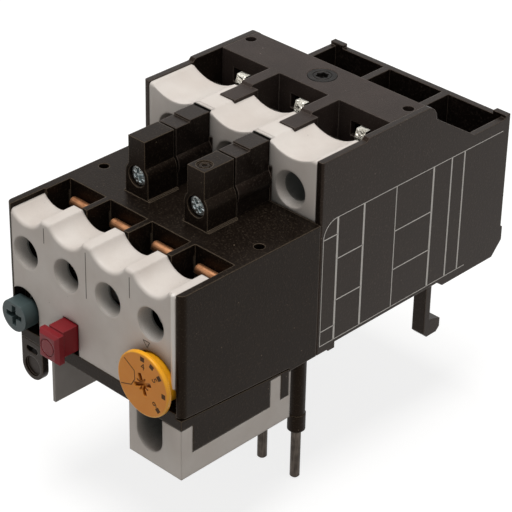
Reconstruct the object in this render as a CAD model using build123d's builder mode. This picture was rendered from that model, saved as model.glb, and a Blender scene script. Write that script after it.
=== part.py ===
"""Plug-in thermal overload protector for a small motor contactor.

The body lies as it is photographed: the dial faces -Y, the wire pockets open upwards and the power pins point
down. Every place below is given as x from the left side, y from the dial face towards the back, and z up from
the lower edge of the side walls. The frame's origin is where the middle power pin leaves its sleeve.
"""
import os
from math import cos, radians, sin

from build123d import *

os.makedirs("parts", exist_ok=True)

# Fits and gaps, in millimetres
play = 0.1  # between pieces that seat in each other and stay put
shaft_play = 0.06  # round a turning or sliding shaft
running_gap = 0.3  # between pieces that move past each other
past = 1.0  # how far a cut runs past the face it starts from

# Outside of the body
width = 45.0
wall = 1.3
front_depth = 34.0  # front block, from the dial face to the seam
deck_z = 24.7  # top of the front block
deck_thickness = 1.5
edge_front_z = -0.2  # lower edge of the front block's side wall, at the dial face
edge_rear_z = -2.1  # the same edge where it meets the heel
heel_length = 7.0  # rear stretch of the front block, which hangs lower
heel_y = front_depth - heel_length
heel_z = -2.8
corner_radius = 1.4  # upright front corners of the front block

# Power pins
pin_count = 3
pin_pitch = 8.7
right_pin_inset = 6.4
first_pin_x = width - right_pin_inset - (pin_count - 1) * pin_pitch
pin_setback = 2.4
pin_y = front_depth + pin_setback
pin_radius = 0.97
pin_root_radius = 0.7  # inside the sleeve
pin_length = 10.9
pin_tip_bevel = 0.3
sleeve_top_z = 0.6
sleeve_end_z = -23.65
sleeve_radius = 1.6
sleeve_end_radius = 1.75
sleeve_flare = 4.0
sleeve_end_bevel = 0.4

# Auxiliary terminals: two contact pairs along the front block
aux_count = 4
aux_screw_z = 16.1
aux_funnel_radius = 3.25
aux_bore_radius = 2.45
aux_funnel_depth = 2.4
aux_head_radius = 2.3
aux_head_y = 3.5
aux_head_length = 1.6
aux_shank_radius = 1.3
pocket_inset = 0.4
pocket_rib = 1.2
pocket_pitch = (width - 2 * wall - pocket_inset + pocket_rib) / aux_count
pocket_width = pocket_pitch - pocket_rib
aux_screw_inset = 3.4
pocket_back_y = 13.9
pocket_floor_z = 14.0
groove_depth = 0.5  # in the left wall of each pocket
groove_width = 1.7
groove_setback = 0.2  # in front of the pocket's back wall
groove_foot_z = 19.2
groove_top_z = 22.4
pocket_block_y = 8.2
pocket_block_z = 12.0
pocket_wall = 1.2
strip_width = 5.8
strip_thickness = 1.0
strip_top_z = 22.0
strip_foot_z = 8.0
lip_radius = 1.0
clamp_plate = 5.0
clamp_plate_thickness = 1.0
clamp_y = 9.6
rivet_radius = 0.9
rivet_height = 0.35

# Front cover
cover_depth = 8.0
cover_skin = 2.0
cover_foot_z = 0.5
ridge_z = 24.5
scallop_z = 22.1
scallop_radius = 4.9
cover_roof_z = 19.4
funnel_wall = 0.8
cover_lip_radius = 0.7
aux_boss_end_y = 2.8

# Reset knob, with its hand or automatic selector
knob_x = 4.0
knob_z = 3.4
knob_radius = 3.2
knob_face_y = -2.5
knob_head_length = 3.3
knob_flat = 2.6
knob_travel = 2.0
knob_slot = 1.1
knob_slot_depth = 1.4
knob_hole_radius = 4.05
knob_hole_z = 4.2
knob_shaft_radius = 1.6
knob_collar_y = 12.0
knob_collar_length = 1.2
knob_collar_radius = 2.3
selector_length = 5.6
selector_radius = 2.4

# Test button
test_x = 16.7
test_z = 4.3
test_face_y = -5.2
test_head_x = 16.25
test_head_z = 3.55
test_head_width = 5.1
test_head_height = 5.9
test_head_thickness = 1.8
test_head_bevel = 0.6
test_shaft_width = 3.7
test_shaft_height = 5.3
test_travel = 2.0
test_stem_radius = 1.1
test_stem_end_y = 15.0
groove_radius = 1.8
groove_width = 0.25
groove_depth = 0.2
test_window_left = 14.7
test_window_right = 18.8
test_window_top = 7.2

# Current dial and its cam
dial_inset = 6.8
dial_x = width - dial_inset
dial_z = 5.3
dial_face_y = -2.7
dial_radius = 6.3
dial_thickness = 1.2
drum_radius = 4.9
drum_end_y = 2.6
dial_hole_radius = 5.25
dial_turn = 180.0
dial_shaft_radius = 2.0
dial_shaft_end_y = 12.2
dial_slot_reach = 2.3
dial_slot_width = 1.1
dial_slot_depth = 0.9
cam_y = 9.0
cam_length = 3.0
cam_low = 2.6
cam_rise = 1.2
cam_steps = 12

# Base plate under the front block
base_left_x = 2.85
base_front_y = 0.0
base_under_z = -2.5
base_top_z = -0.9
base_gap = 0.3
base_lip_z = 0.4
base_lip_depth = 1.4
skirt_thickness = 1.2
skirt_front_y = 2.8
skirt_gap = 2.8  # between the long skirt and the short one at the heel
short_skirt = 2.0
long_skirt_z = -8.2
short_skirt_z = -7.9
boss_y = 3.2
boss_back_y = 8.0
bearing_wall = 2.0
knob_boss_back_y = 9.2
spring_seat_thickness = 1.1
knob_spring_seat_y = 18.9
test_spring_seat_y = 12.9

# Lower terminal block, its guard and the screwdriver guide
lower_width = 13.2
lower_z = -13.0
lower_overhang = 0.4
lower_screw_inset = 8.0
lower_screw_z = -7.3
lower_slot_radius = 3.25
lower_bore_radius = 2.6
lower_head_radius = 2.4
lower_head_y = 7.0
lower_head_length = 1.8
lower_slot_depth = 0.6
lower_shank_radius = 1.4
lower_cell_y = 10.0
lower_cell_depth = 8.0
lower_cell_half = 3.4
lower_clamp_thickness = 1.0
guard_x = 11.2
guard_thickness = 0.7
guard_setback = 2.0  # from the heel
guard_flange = 4.0
guide_x = 5.7
guide_half_width = 2.85
guide_end_z = -7.95
guide_thickness = 1.4
guide_hole_length = 3.2
guide_hole_width = 1.3
guide_hole_z = -4.4
guide_dish_radius = 2.1
guide_dish_depth = 0.5

# Main block
main_top_z = 37.1
roof_z = 37.7
slope_top_z = 34.7
roof_round = 3.0
roof_edge = 2.0
roof_under_z = 33.4
main_corner_radius = 0.5
rim_length = 10.5
rim_z = 27.1
heel_step = 3.3
heel_peg_length = 1.7
heel_peg_z = -3.2
heel_peg_width = 2.4
belly_z = -1.9
tail_length = 18.8
tail_step = 1.6
tail_z = -3.1
tail_bevel = 2.2
foot_reach = 0.5
foot_z = -0.15
foot_top_z = 2.8
inner_floor_z = -0.7
ceiling_z = 23.3
ceiling_thickness = 1.5
chamber_wall = 1.2
chamber_depth = 11.6  # behind the wire bays
well_depth = 19.5
cell_floor_z = 0.0
cell_rib = 1.6
nub_height = 0.7
nub_reach = 3.2
phase_count = 3
phase_pitch = width / phase_count
partition_z = 4.0
partition_thickness = 1.2
arm_window_gap = 0.8
arm_window_top = 4.0

# Main terminal cover
hood_depth = 10.8
hood_z = 36.95
hood_scallop_z = 35.3
hood_scallop_radius = 9.5
main_screw_z = 29.0
main_funnel_radius = 3.6
main_funnel_depth = 1.6
main_head_depth = 5.4  # of the screws' heads behind the cover's face
main_bore_radius = 2.75
main_head_radius = 2.6
main_head_length = 2.0
main_shank_radius = 1.6

# Bridge piece over the heaters, with the three wire bays
bay_width = phase_pitch - 2 * wall
bay_depth = 8.3
roof_step = 1.2  # from the bays' front edge to where the roof starts
bay_floor_z = 26.0
bay_window_left = 3.2  # of the middle of the bay
bay_window_right = 0.6
bay_window_foot_z = 31.6
bay_window_top_z = 34.6
bay_wall = 1.2
tab_width = 3.7
tab_offset = 0.85
tab_reach = 4.9
tab_z = 37.2
tab_thickness = 1.8
roof_hole_x = 2.64
roof_hole_setback = 6.4  # behind the wire bays
roof_hole_radius = 1.1
roof_hole_depth = 1.6
roof_screw_setback = 5.0
roof_screw_radius = 1.5
roof_screw_head_radius = 2.9
roof_screw_head_depth = 1.2
roof_screw_length = 4.0
roof_screw_recess_radius = 1.3
roof_screw_recess_depth = 0.9

# Screw towers that join the two blocks
tower_length = 16.0  # in front of the seam
tower_front_length = 7.2
tower_gap = 0.5
tower_fin_width = 4.2
tower_top_z = 36.4
tower_base_width = 5.8
tower_screw_z = 28.8
tower_barrel_radius = 2.9
tower_round = 1.8
tower_step_length = 4.8
tower_step = 0.4
tower_foot_width = 5.0
tower_pad = 0.3
tower_pad_reach = 0.4
tower_head_radius = 2.0
tower_head_recess = 0.5
tower_head_length = 1.6
tower_shank_radius = 1.2
tower_shelf_depth = 5.0
tower_dimple_radius = 1.5
tower_dimple_depth = 0.35

# Deck holes
deck_hole_x = 2.65
deck_hole_setback = 12.7
deck_hole_radius = 1.0

# Load path and heaters
heater_setback = 3.9  # behind the wire bays
bimetal_thickness = 0.8
bimetal_width = 5.0
bimetal_foot_z = 4.0
bimetal_top_z = 31.9
mica_gap = 0.15
mica_wall = 0.4
mica_foot_z = 8.2
mica_top_z = 24.0
ribbon_gap = 0.2
ribbon_wall = 0.6
ribbon_height = 1.2
ribbon_pitch = 2.8
ribbon_turns = 6
ribbon_foot_z = 9.0
bracket_width = 4.4
bracket_foot_z = 28.0
lead_width = 5.0
lead_thickness = 1.2
lead_inset = 2.3  # in front of the bays' back wall
lead_foot_z = 22.0
lead_top_z = 31.0
link_width = 3.0
link_thickness = 1.2
link_z = 6.0
link_step = 1.9
ear_left = 1.5  # right of the middle of the bay
ear_right = 3.7
ear_reach = 0.6
ear_z = 36.2
ear_drop = 1.6
yoke_z = 26.3
yoke_top_z = 31.5
yoke_inset = 3.7
yoke_thickness = 1.2

# Trip train
slide_z = 1.0
slide_thickness = 1.4
slide_inset = 4.0
slide_half_depth = 3.0
slide_travel = 1.2
slide_finger_thickness = 0.8
slide_finger_top_z = 6.0
slide_rail_width = 1.0
arm_inset = 3.0  # right of the first power pin
arm_width = 2.4
arm_tip_depth = 2.0
arm_rest_depth = 2.5
pusher_width = 1.2
pusher_depth = 1.0
pusher_top_z = 7.0
lever_setback = 12.0
lever_reach = 6.0
lever_hub_radius = 2.0
lever_pin_radius = 0.8
lever_foot_z = 3.0
lever_arm_z = 8.6
lever_top_z = 11.2
lever_arm_width = 1.8
lever_tip_radius = 1.0
lever_slot_depth = 0.8
compensator_thickness = 0.6
compensator_foot_z = 3.4
compensator_top_z = 7.6
compensator_overlap = 1.5
carrier_z = 8.6
carrier_top_z = 11.7
carrier_gap = 0.7
carrier_width = 1.7
lever_tip_gap = 0.4
carrier_front_y = 8.6
carrier_lug_depth = 1.2
carrier_arm_thickness = 1.2
bridge_thickness = 0.8
bridge_z = 9.2
bridge_height = 1.8
contact_travel = 1.2
follower_inset = 4.6
follower_setback = 14.0
follower_hub_radius = 1.4
follower_pin_radius = 0.7
follower_foot_z = 3.6
follower_top_z = 7.2
follower_arm_width = 1.0

# Cross slots of the screws: their half width, and their reach as a share of the head's radius
slot_half_width = 0.25
slot_share = 0.7
knob_slot_share = 0.65

# Return springs
spring_wire = 0.4
knob_spring_radius = 1.9
test_spring_radius = 1.7
spring_turns = 6

# Latch hooks under the tail
hook_inset = 2.0
hook_width = 3.0
hook_lead = 0.5
hook_stem = 1.5
hook_foot_length = 4.7
hook_end_z = -15.4
hook_foot_height = 2.8
hook_nose = 0.9
hook_socket = 2.0

# Places that follow from the values above
middle_pin_x = first_pin_x + pin_pitch
left = -middle_pin_x
face = -pin_y
floor = -sleeve_end_z
phase_xs = [(i + 0.5) * phase_pitch for i in range(phase_count)]
tower_xs = [(a + b) / 2 for a, b in zip(phase_xs, phase_xs[1:])]
pin_xs = [first_pin_x + i * pin_pitch for i in range(pin_count)]
pocket_xs = [wall + pocket_inset + i * pocket_pitch for i in range(aux_count)]
aux_xs = [x + aux_screw_inset for x in pocket_xs]
strip_xs = [x + pocket_width / 2 for x in pocket_xs]
strip_y = pocket_back_y - play - strip_thickness
selector_y = knob_face_y + knob_head_length + knob_travel + 2 * running_gap
test_shaft_end_y = boss_back_y - test_travel
pin_end_z = sleeve_end_z - pin_length
deck_hole_y = front_depth - deck_hole_setback

skirt_spans = (
    (skirt_front_y, heel_y - play - short_skirt - skirt_gap, long_skirt_z),
    (heel_y - play - short_skirt, heel_y - play, short_skirt_z),
)
lower_left_x = width - lower_width
lower_screw_x = width - lower_screw_inset
lower_depth = heel_y + lower_overhang
guard_depth = heel_y - guard_setback

tower_y = front_depth - tower_length
tower_split_y = tower_y + tower_front_length
tower_step_y = front_depth - tower_step_length
tower_back_y = front_depth + wall
tower_shank_end_y = front_depth + tower_shelf_depth

# Depths of the main block, from its terminals to its back
hood_back_y = front_depth + hood_depth
main_head_y = front_depth + main_head_depth
tab_front_y = hood_back_y - tab_reach
roof_front_y = hood_back_y + roof_step
bay_back_y = hood_back_y + bay_depth
yoke_y = bay_back_y - yoke_inset
ear_y = yoke_y - ear_reach
main_shank_end_y = yoke_y - 2 * play
lead_y = bay_back_y - lead_inset
heater_y = bay_back_y + heater_setback
roof_screw_y = bay_back_y + roof_screw_setback
roof_hole_y = bay_back_y + roof_hole_setback
chamber_y = front_depth + chamber_wall
chamber_back_y = bay_back_y + chamber_depth
slope_top_y = chamber_back_y - play
roof_back_y = slope_top_y - roof_edge
cell_front_y = chamber_back_y + wall
cell_back_y = cell_front_y + well_depth
body_depth = cell_back_y + wall
rim_y = body_depth - rim_length
heel_step_y = front_depth + heel_step
heel_peg_y = heel_step_y + heel_peg_length
tail_y = body_depth - tail_length
tail_step_y = tail_y + tail_step
tail_end_y = body_depth - tail_bevel
foot_y = body_depth + foot_reach
hook_y = tail_y - hook_lead

# Places of the trip train
carrier_left_x = strip_xs[1] + strip_width / 2 + carrier_gap
carrier_right_x = carrier_left_x + carrier_width
lever_x = carrier_right_x + lever_tip_gap + lever_tip_radius + lever_reach
lever_y = front_depth - lever_setback
arm_x = first_pin_x + arm_inset
arm_tip_y = lever_y + lever_reach - arm_tip_depth / 2
compensator_end_y = lever_y + lever_reach + compensator_overlap
follower_x = dial_x - follower_inset
follower_y = front_depth - follower_setback
slide_left_x = slide_inset
slide_right_x = width - slide_inset
arm_window_left = arm_x - arm_window_gap
arm_window_right = arm_x + arm_width + slide_travel + arm_window_gap


def level(z):
    """Level plane at height z, with its origin over the left front corner of the body."""
    return Plane(origin=(left, face, floor + z))


def station(y):
    """Upright plane at depth y, seen from the front: local x runs right and local y runs up."""
    return Plane(origin=(left, face + y, floor), x_dir=(1, 0, 0), z_dir=(0, -1, 0))


def side(x):
    """Upright plane at x, seen from the right: local x runs back and local y runs up."""
    return Plane(origin=(left + x, face, floor), x_dir=(0, 1, 0), z_dir=(1, 0, 0))


def spot(x, y, z):
    """Location of a point given from the left side, the dial face and the lower edge."""
    return Location((left + x, face + y, floor + z))


def bar(x, y, z, mode=Mode.ADD):
    """Block between two values of x, of y and of z."""
    with Locations(spot(sum(x) / 2, sum(y) / 2, sum(z) / 2)):
        Box(x[1] - x[0], y[1] - y[0], z[1] - z[0], mode=mode)


def rod(x, z, y, radius, mode=Mode.ADD):
    """Round bar along y, between two values of y."""
    with Locations(spot(x, sum(y) / 2, z)):
        Cylinder(radius, y[1] - y[0], rotation=(90, 0, 0), mode=mode)


def post(x, y, z, radius, mode=Mode.ADD):
    """Upright round bar between two values of z."""
    with Locations(spot(x, y, sum(z) / 2)):
        Cylinder(radius, z[1] - z[0], mode=mode)


def funnel(x, z, y, front_radius, back_radius, mode=Mode.ADD):
    """Cone along y that narrows from its front radius to its back radius."""
    with Locations(spot(x, sum(y) / 2, z)):
        Cone(back_radius, front_radius, y[1] - y[0], rotation=(90, 0, 0), mode=mode)


def across(half, centre):
    """Pair of values at equal distance on both sides of a centre."""
    return (centre - half, centre + half)


def cross_slot(x, z, y, reach, half_width):
    """Cuts two crossing slots into the end of a round head, between two values of y."""
    for half_x, half_z in ((reach, half_width), (half_width, reach)):
        bar(across(half_x, x), y, across(half_z, z), Mode.SUBTRACT)


def finish(builder, name):
    """Labels a finished piece and writes it to its own file."""
    builder.part.label = name
    export_step(builder.part, f"parts/{name}.step")


# Front block housing: open box with four wire pockets and the front halves of the screw towers
with BuildPart() as front_housing:
    with BuildSketch(side(0)):
        with BuildLine():
            Polyline(
                (0, edge_front_z),
                (heel_y, edge_rear_z),
                (heel_y, heel_z),
                (front_depth, heel_z),
                (front_depth, deck_z),
                (0, deck_z),
                close=True,
            )
        make_face()
    extrude(amount=width)
    fillet(
        front_housing.edges().filter_by(Axis.Z).group_by(Axis.Y)[0],
        radius=corner_radius,
    )
    inside = (wall, width - wall)
    bar(inside, (-past, pocket_block_y), (heel_z - past, deck_z + past), Mode.SUBTRACT)
    bar(inside, (0, front_depth - wall), (heel_z - past, pocket_block_z), Mode.SUBTRACT)
    bar(
        inside,
        (pocket_back_y + pocket_wall, front_depth - wall),
        (pocket_block_z - past, deck_z - deck_thickness),
        Mode.SUBTRACT,
    )
    bar(inside, (heel_y, front_depth), (heel_z, heel_z + wall))
    for x in pocket_xs:
        bar(
            (x, x + pocket_width),
            (cover_depth, pocket_back_y),
            (pocket_floor_z, deck_z + past),
            Mode.SUBTRACT,
        )
        bar(
            (x - groove_depth, x + past),
            (pocket_back_y - groove_setback - groove_width, pocket_back_y - groove_setback),
            (groove_foot_z, groove_top_z),
            Mode.SUBTRACT,
        )
        bar(
            across(strip_width / 2 + play, x + pocket_width / 2),
            (strip_y - play, pocket_back_y),
            (pocket_block_z - past, pocket_floor_z + past),
            Mode.SUBTRACT,
        )
    bar(
        (arm_window_left, arm_window_right),
        (front_depth - wall - past, front_depth + past),
        (inner_floor_z, arm_window_top),
        Mode.SUBTRACT,
    )
    rod(knob_x, knob_z, (-past, boss_y), knob_radius + running_gap, Mode.SUBTRACT)
    for x in (deck_hole_x, width - deck_hole_x):
        post(
            x,
            deck_hole_y,
            (deck_z - deck_thickness - past, deck_z + past),
            deck_hole_radius,
            Mode.SUBTRACT,
        )
    for x in tower_xs:
        reach = tower_base_width / 2
        bar(across(reach + tower_pad_reach, x), (tower_y, tower_split_y), (deck_z, deck_z + tower_pad))
        bar(across(reach, x), (tower_y, tower_split_y), (deck_z, tower_screw_z))
        rod(x, tower_screw_z, (tower_y, tower_split_y), tower_barrel_radius)
        bar(across(tower_fin_width / 2, x), (tower_y, tower_split_y), (tower_screw_z, tower_top_z))
        rod(
            x,
            tower_screw_z,
            (tower_y - past, tower_y + tower_head_recess + tower_head_length),
            tower_head_radius + play,
            Mode.SUBTRACT,
        )
        rod(x, tower_screw_z, (tower_y, tower_split_y + past), tower_shank_radius + play, Mode.SUBTRACT)
    post(
        tower_xs[-1],
        tower_y + tower_fin_width / 2,
        (tower_top_z - tower_dimple_depth, tower_top_z + past),
        tower_dimple_radius,
        Mode.SUBTRACT,
    )
finish(front_housing, "front_housing")

# Front cover: light shell with four screw funnels, four wire scallops and the openings for the controls
with BuildPart() as front_cover:
    cover_sides = (wall + play, width - wall - play)
    bar(cover_sides, (0, cover_skin), (cover_foot_z, ridge_z))
    bar(cover_sides, (cover_skin, cover_depth), (cover_roof_z, ridge_z))
    for x in aux_xs:
        rod(x, aux_screw_z, (cover_skin, aux_boss_end_y), aux_bore_radius + funnel_wall)
    for x in aux_xs:
        rod(x, scallop_z + scallop_radius, (-past, cover_depth + past), scallop_radius, Mode.SUBTRACT)
        funnel(x, aux_screw_z, (0, aux_funnel_depth), aux_funnel_radius, aux_bore_radius, Mode.SUBTRACT)
        rod(x, aux_screw_z, (0, cover_depth + past), aux_bore_radius, Mode.SUBTRACT)
    rod(knob_x, knob_hole_z, (-past, cover_skin + past), knob_hole_radius, Mode.SUBTRACT)
    bar((0, knob_x + knob_hole_radius), (-past, cover_skin + past), (0, knob_hole_z), Mode.SUBTRACT)
    bar(
        (test_window_left, test_window_right),
        (-past, cover_skin + past),
        (0, test_window_top),
        Mode.SUBTRACT,
    )
    rod(dial_x, dial_z, (-past, cover_skin + past), dial_hole_radius, Mode.SUBTRACT)
    bar((dial_x, width), (-past, cover_skin + past), (0, dial_z), Mode.SUBTRACT)
    cover_lip = front_cover.edges().group_by(Axis.Y)[0]
    fillet(
        cover_lip.filter_by_position(Axis.Z, floor + scallop_z, floor + ridge_z + play),
        radius=cover_lip_radius,
    )
finish(front_cover, "front_cover")

# Base plate: closes the front block from below and carries the bearings of the controls
with BuildPart() as base_plate:
    with BuildSketch(side(base_left_x)):
        with BuildLine():
            Polyline(
                (base_front_y, base_under_z),
                (heel_y - play, base_under_z),
                (heel_y - play, edge_rear_z - base_gap),
                (base_front_y, edge_front_z - base_gap),
                close=True,
            )
        make_face()
    extrude(amount=width - base_left_x)
    bar(inside, (cover_skin, heel_y - play), (base_under_z, base_top_z))
    bar(inside, (cover_skin, heel_y + past), (base_top_z, deck_z), Mode.SUBTRACT)
    bar(
        (knob_x + knob_hole_radius, width - wall - play),
        (base_front_y, base_lip_depth),
        (base_under_z, base_lip_z),
    )
    for front_y, back_y, foot in skirt_spans:
        bar((width - skirt_thickness, width), (front_y, back_y), (foot, base_under_z + play))
    # Bearing of the reset knob, with the seat of its spring behind it
    knob_boss = (wall + play, knob_x + selector_radius + bearing_wall)
    bar(knob_boss, (boss_y, knob_boss_back_y), (base_top_z, knob_z + selector_radius + bearing_wall))
    rod(knob_x, knob_z, (0, knob_boss_back_y + past), selector_radius + shaft_play, Mode.SUBTRACT)
    bar(
        across(knob_spring_radius + spring_wire, knob_x),
        (knob_spring_seat_y, knob_spring_seat_y + spring_seat_thickness),
        (base_top_z, knob_z + knob_spring_radius),
    )
    # Guide of the test button, with the seat of its spring behind it
    bar(
        across(test_shaft_width / 2 + bearing_wall, test_x),
        (boss_y, boss_back_y),
        (base_top_z, test_z + test_shaft_height / 2 + bearing_wall),
    )
    bar(
        across(test_shaft_width / 2 + play, test_x),
        (0, boss_back_y + past),
        across(test_shaft_height / 2 + play, test_z),
        Mode.SUBTRACT,
    )
    bar(
        across(test_spring_radius + spring_wire, test_x),
        (test_spring_seat_y, test_spring_seat_y + spring_seat_thickness),
        (base_top_z, test_z + test_spring_radius + spring_wire),
    )
    rod(test_x, test_z, (boss_back_y + past, test_stem_end_y), test_stem_radius + shaft_play, Mode.SUBTRACT)
    # Bearing of the dial's shaft
    bar(
        across(dial_shaft_radius + bearing_wall, dial_x),
        (boss_y, boss_back_y),
        (base_top_z, dial_z + dial_shaft_radius + bearing_wall),
    )
    rod(dial_x, dial_z, (0, boss_back_y + past), dial_shaft_radius + shaft_play, Mode.SUBTRACT)
    # Stools under the lever and the follower
    post(lever_x, lever_y, (base_top_z, lever_foot_z - running_gap), lever_hub_radius)
    post(follower_x, follower_y, (base_top_z, follower_foot_z - running_gap), follower_hub_radius)
    for x, y, radius in (
        (lever_x, lever_y, lever_pin_radius),
        (follower_x, follower_y, follower_pin_radius),
    ):
        post(x, y, (base_top_z, follower_foot_z + past), radius, Mode.SUBTRACT)
    # Rest that the tip of the trip slide's arm runs over
    bar(
        (arm_x, arm_x + arm_width),
        (heel_y - play - arm_rest_depth, heel_y - play),
        (base_top_z, slide_z - running_gap),
    )
finish(base_plate, "base_plate")

# Lower terminal block: light cover round one terminal below the front block
with BuildPart() as lower_terminal_block:
    lower_top_z = base_under_z - play
    bar((lower_left_x, width), (0, lower_depth), (lower_z, heel_z - play))
    bar((lower_left_x, width), (0, heel_y - play), (heel_z - play, lower_top_z))
    for front_y, back_y, foot in skirt_spans:
        bar(
            (width - skirt_thickness - play, width + past),
            (front_y - play, back_y + play),
            (foot - play, lower_top_z + past),
            Mode.SUBTRACT,
        )
    rod(lower_screw_x, lower_screw_z, (-past, lower_head_y), lower_slot_radius, Mode.SUBTRACT)
    bar(
        across(lower_slot_radius, lower_screw_x),
        (-past, lower_head_y),
        (lower_screw_z, lower_top_z + past),
        Mode.SUBTRACT,
    )
    rod(lower_screw_x, lower_screw_z, (0, lower_cell_y + past), lower_bore_radius, Mode.SUBTRACT)
    bar(
        across(lower_cell_half, lower_screw_x),
        (lower_cell_y, lower_cell_y + lower_cell_depth),
        (lower_z - past, lower_top_z - wall),
        Mode.SUBTRACT,
    )
finish(lower_terminal_block, "lower_terminal_block")

# Screw and clamp of the lower terminal
with BuildPart() as lower_terminal_screw:
    rod(lower_screw_x, lower_screw_z, (lower_head_y, lower_head_y + lower_head_length), lower_head_radius)
    rod(
        lower_screw_x,
        lower_screw_z,
        (lower_head_y, lower_cell_y + lower_cell_depth / 2),
        lower_shank_radius,
    )
    bar(
        across(lower_head_radius - play, lower_screw_x),
        (lower_head_y, lower_head_y + lower_slot_depth),
        across(slot_half_width, lower_screw_z),
        Mode.SUBTRACT,
    )
finish(lower_terminal_screw, "lower_terminal_screw")

with BuildPart() as lower_terminal_clamp:
    clamp_front_y = lower_cell_y + lower_cell_depth / 2 - lower_clamp_thickness
    bar(
        across(lower_cell_half - play, lower_screw_x),
        (clamp_front_y, clamp_front_y + lower_clamp_thickness),
        (lower_z + wall, lower_top_z - wall - play),
    )
    bar(
        across(lower_cell_half - play, lower_screw_x),
        (clamp_front_y, lower_cell_y + lower_cell_depth - play),
        (lower_top_z - wall - play - lower_clamp_thickness, lower_top_z - wall - play),
    )
    rod(
        lower_screw_x,
        lower_screw_z,
        (clamp_front_y - past, clamp_front_y + lower_clamp_thickness + past),
        lower_shank_radius + play / 2,
        Mode.SUBTRACT,
    )
finish(lower_terminal_clamp, "lower_terminal_clamp")

# Side guard: thin light plate that hangs below the front block on the left
with BuildPart() as side_guard:
    bar((guard_x, guard_x + guard_thickness), (0, guard_depth), (lower_z, lower_top_z))
    bar(
        (guard_x - guard_flange, guard_x),
        (guard_depth / 2, guard_depth),
        (lower_top_z - guard_thickness, lower_top_z),
    )
finish(side_guard, "side_guard")

# Screwdriver guide: dished tongue below the reset knob
with BuildPart() as screwdriver_guide:
    with BuildSketch(station(guide_thickness)):
        with Locations((guide_x, guide_end_z)):
            Circle(guide_half_width)
        with Locations((guide_x, (guide_end_z + lower_top_z) / 2)):
            Rectangle(2 * guide_half_width, lower_top_z - guide_end_z)
        with Locations((guide_x, guide_hole_z)):
            SlotOverall(guide_hole_length, guide_hole_width, mode=Mode.SUBTRACT)
    extrude(amount=guide_thickness)
    rod(guide_x, guide_end_z, (-play, guide_dish_depth), guide_dish_radius, Mode.SUBTRACT)
finish(screwdriver_guide, "screwdriver_guide")

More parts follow.
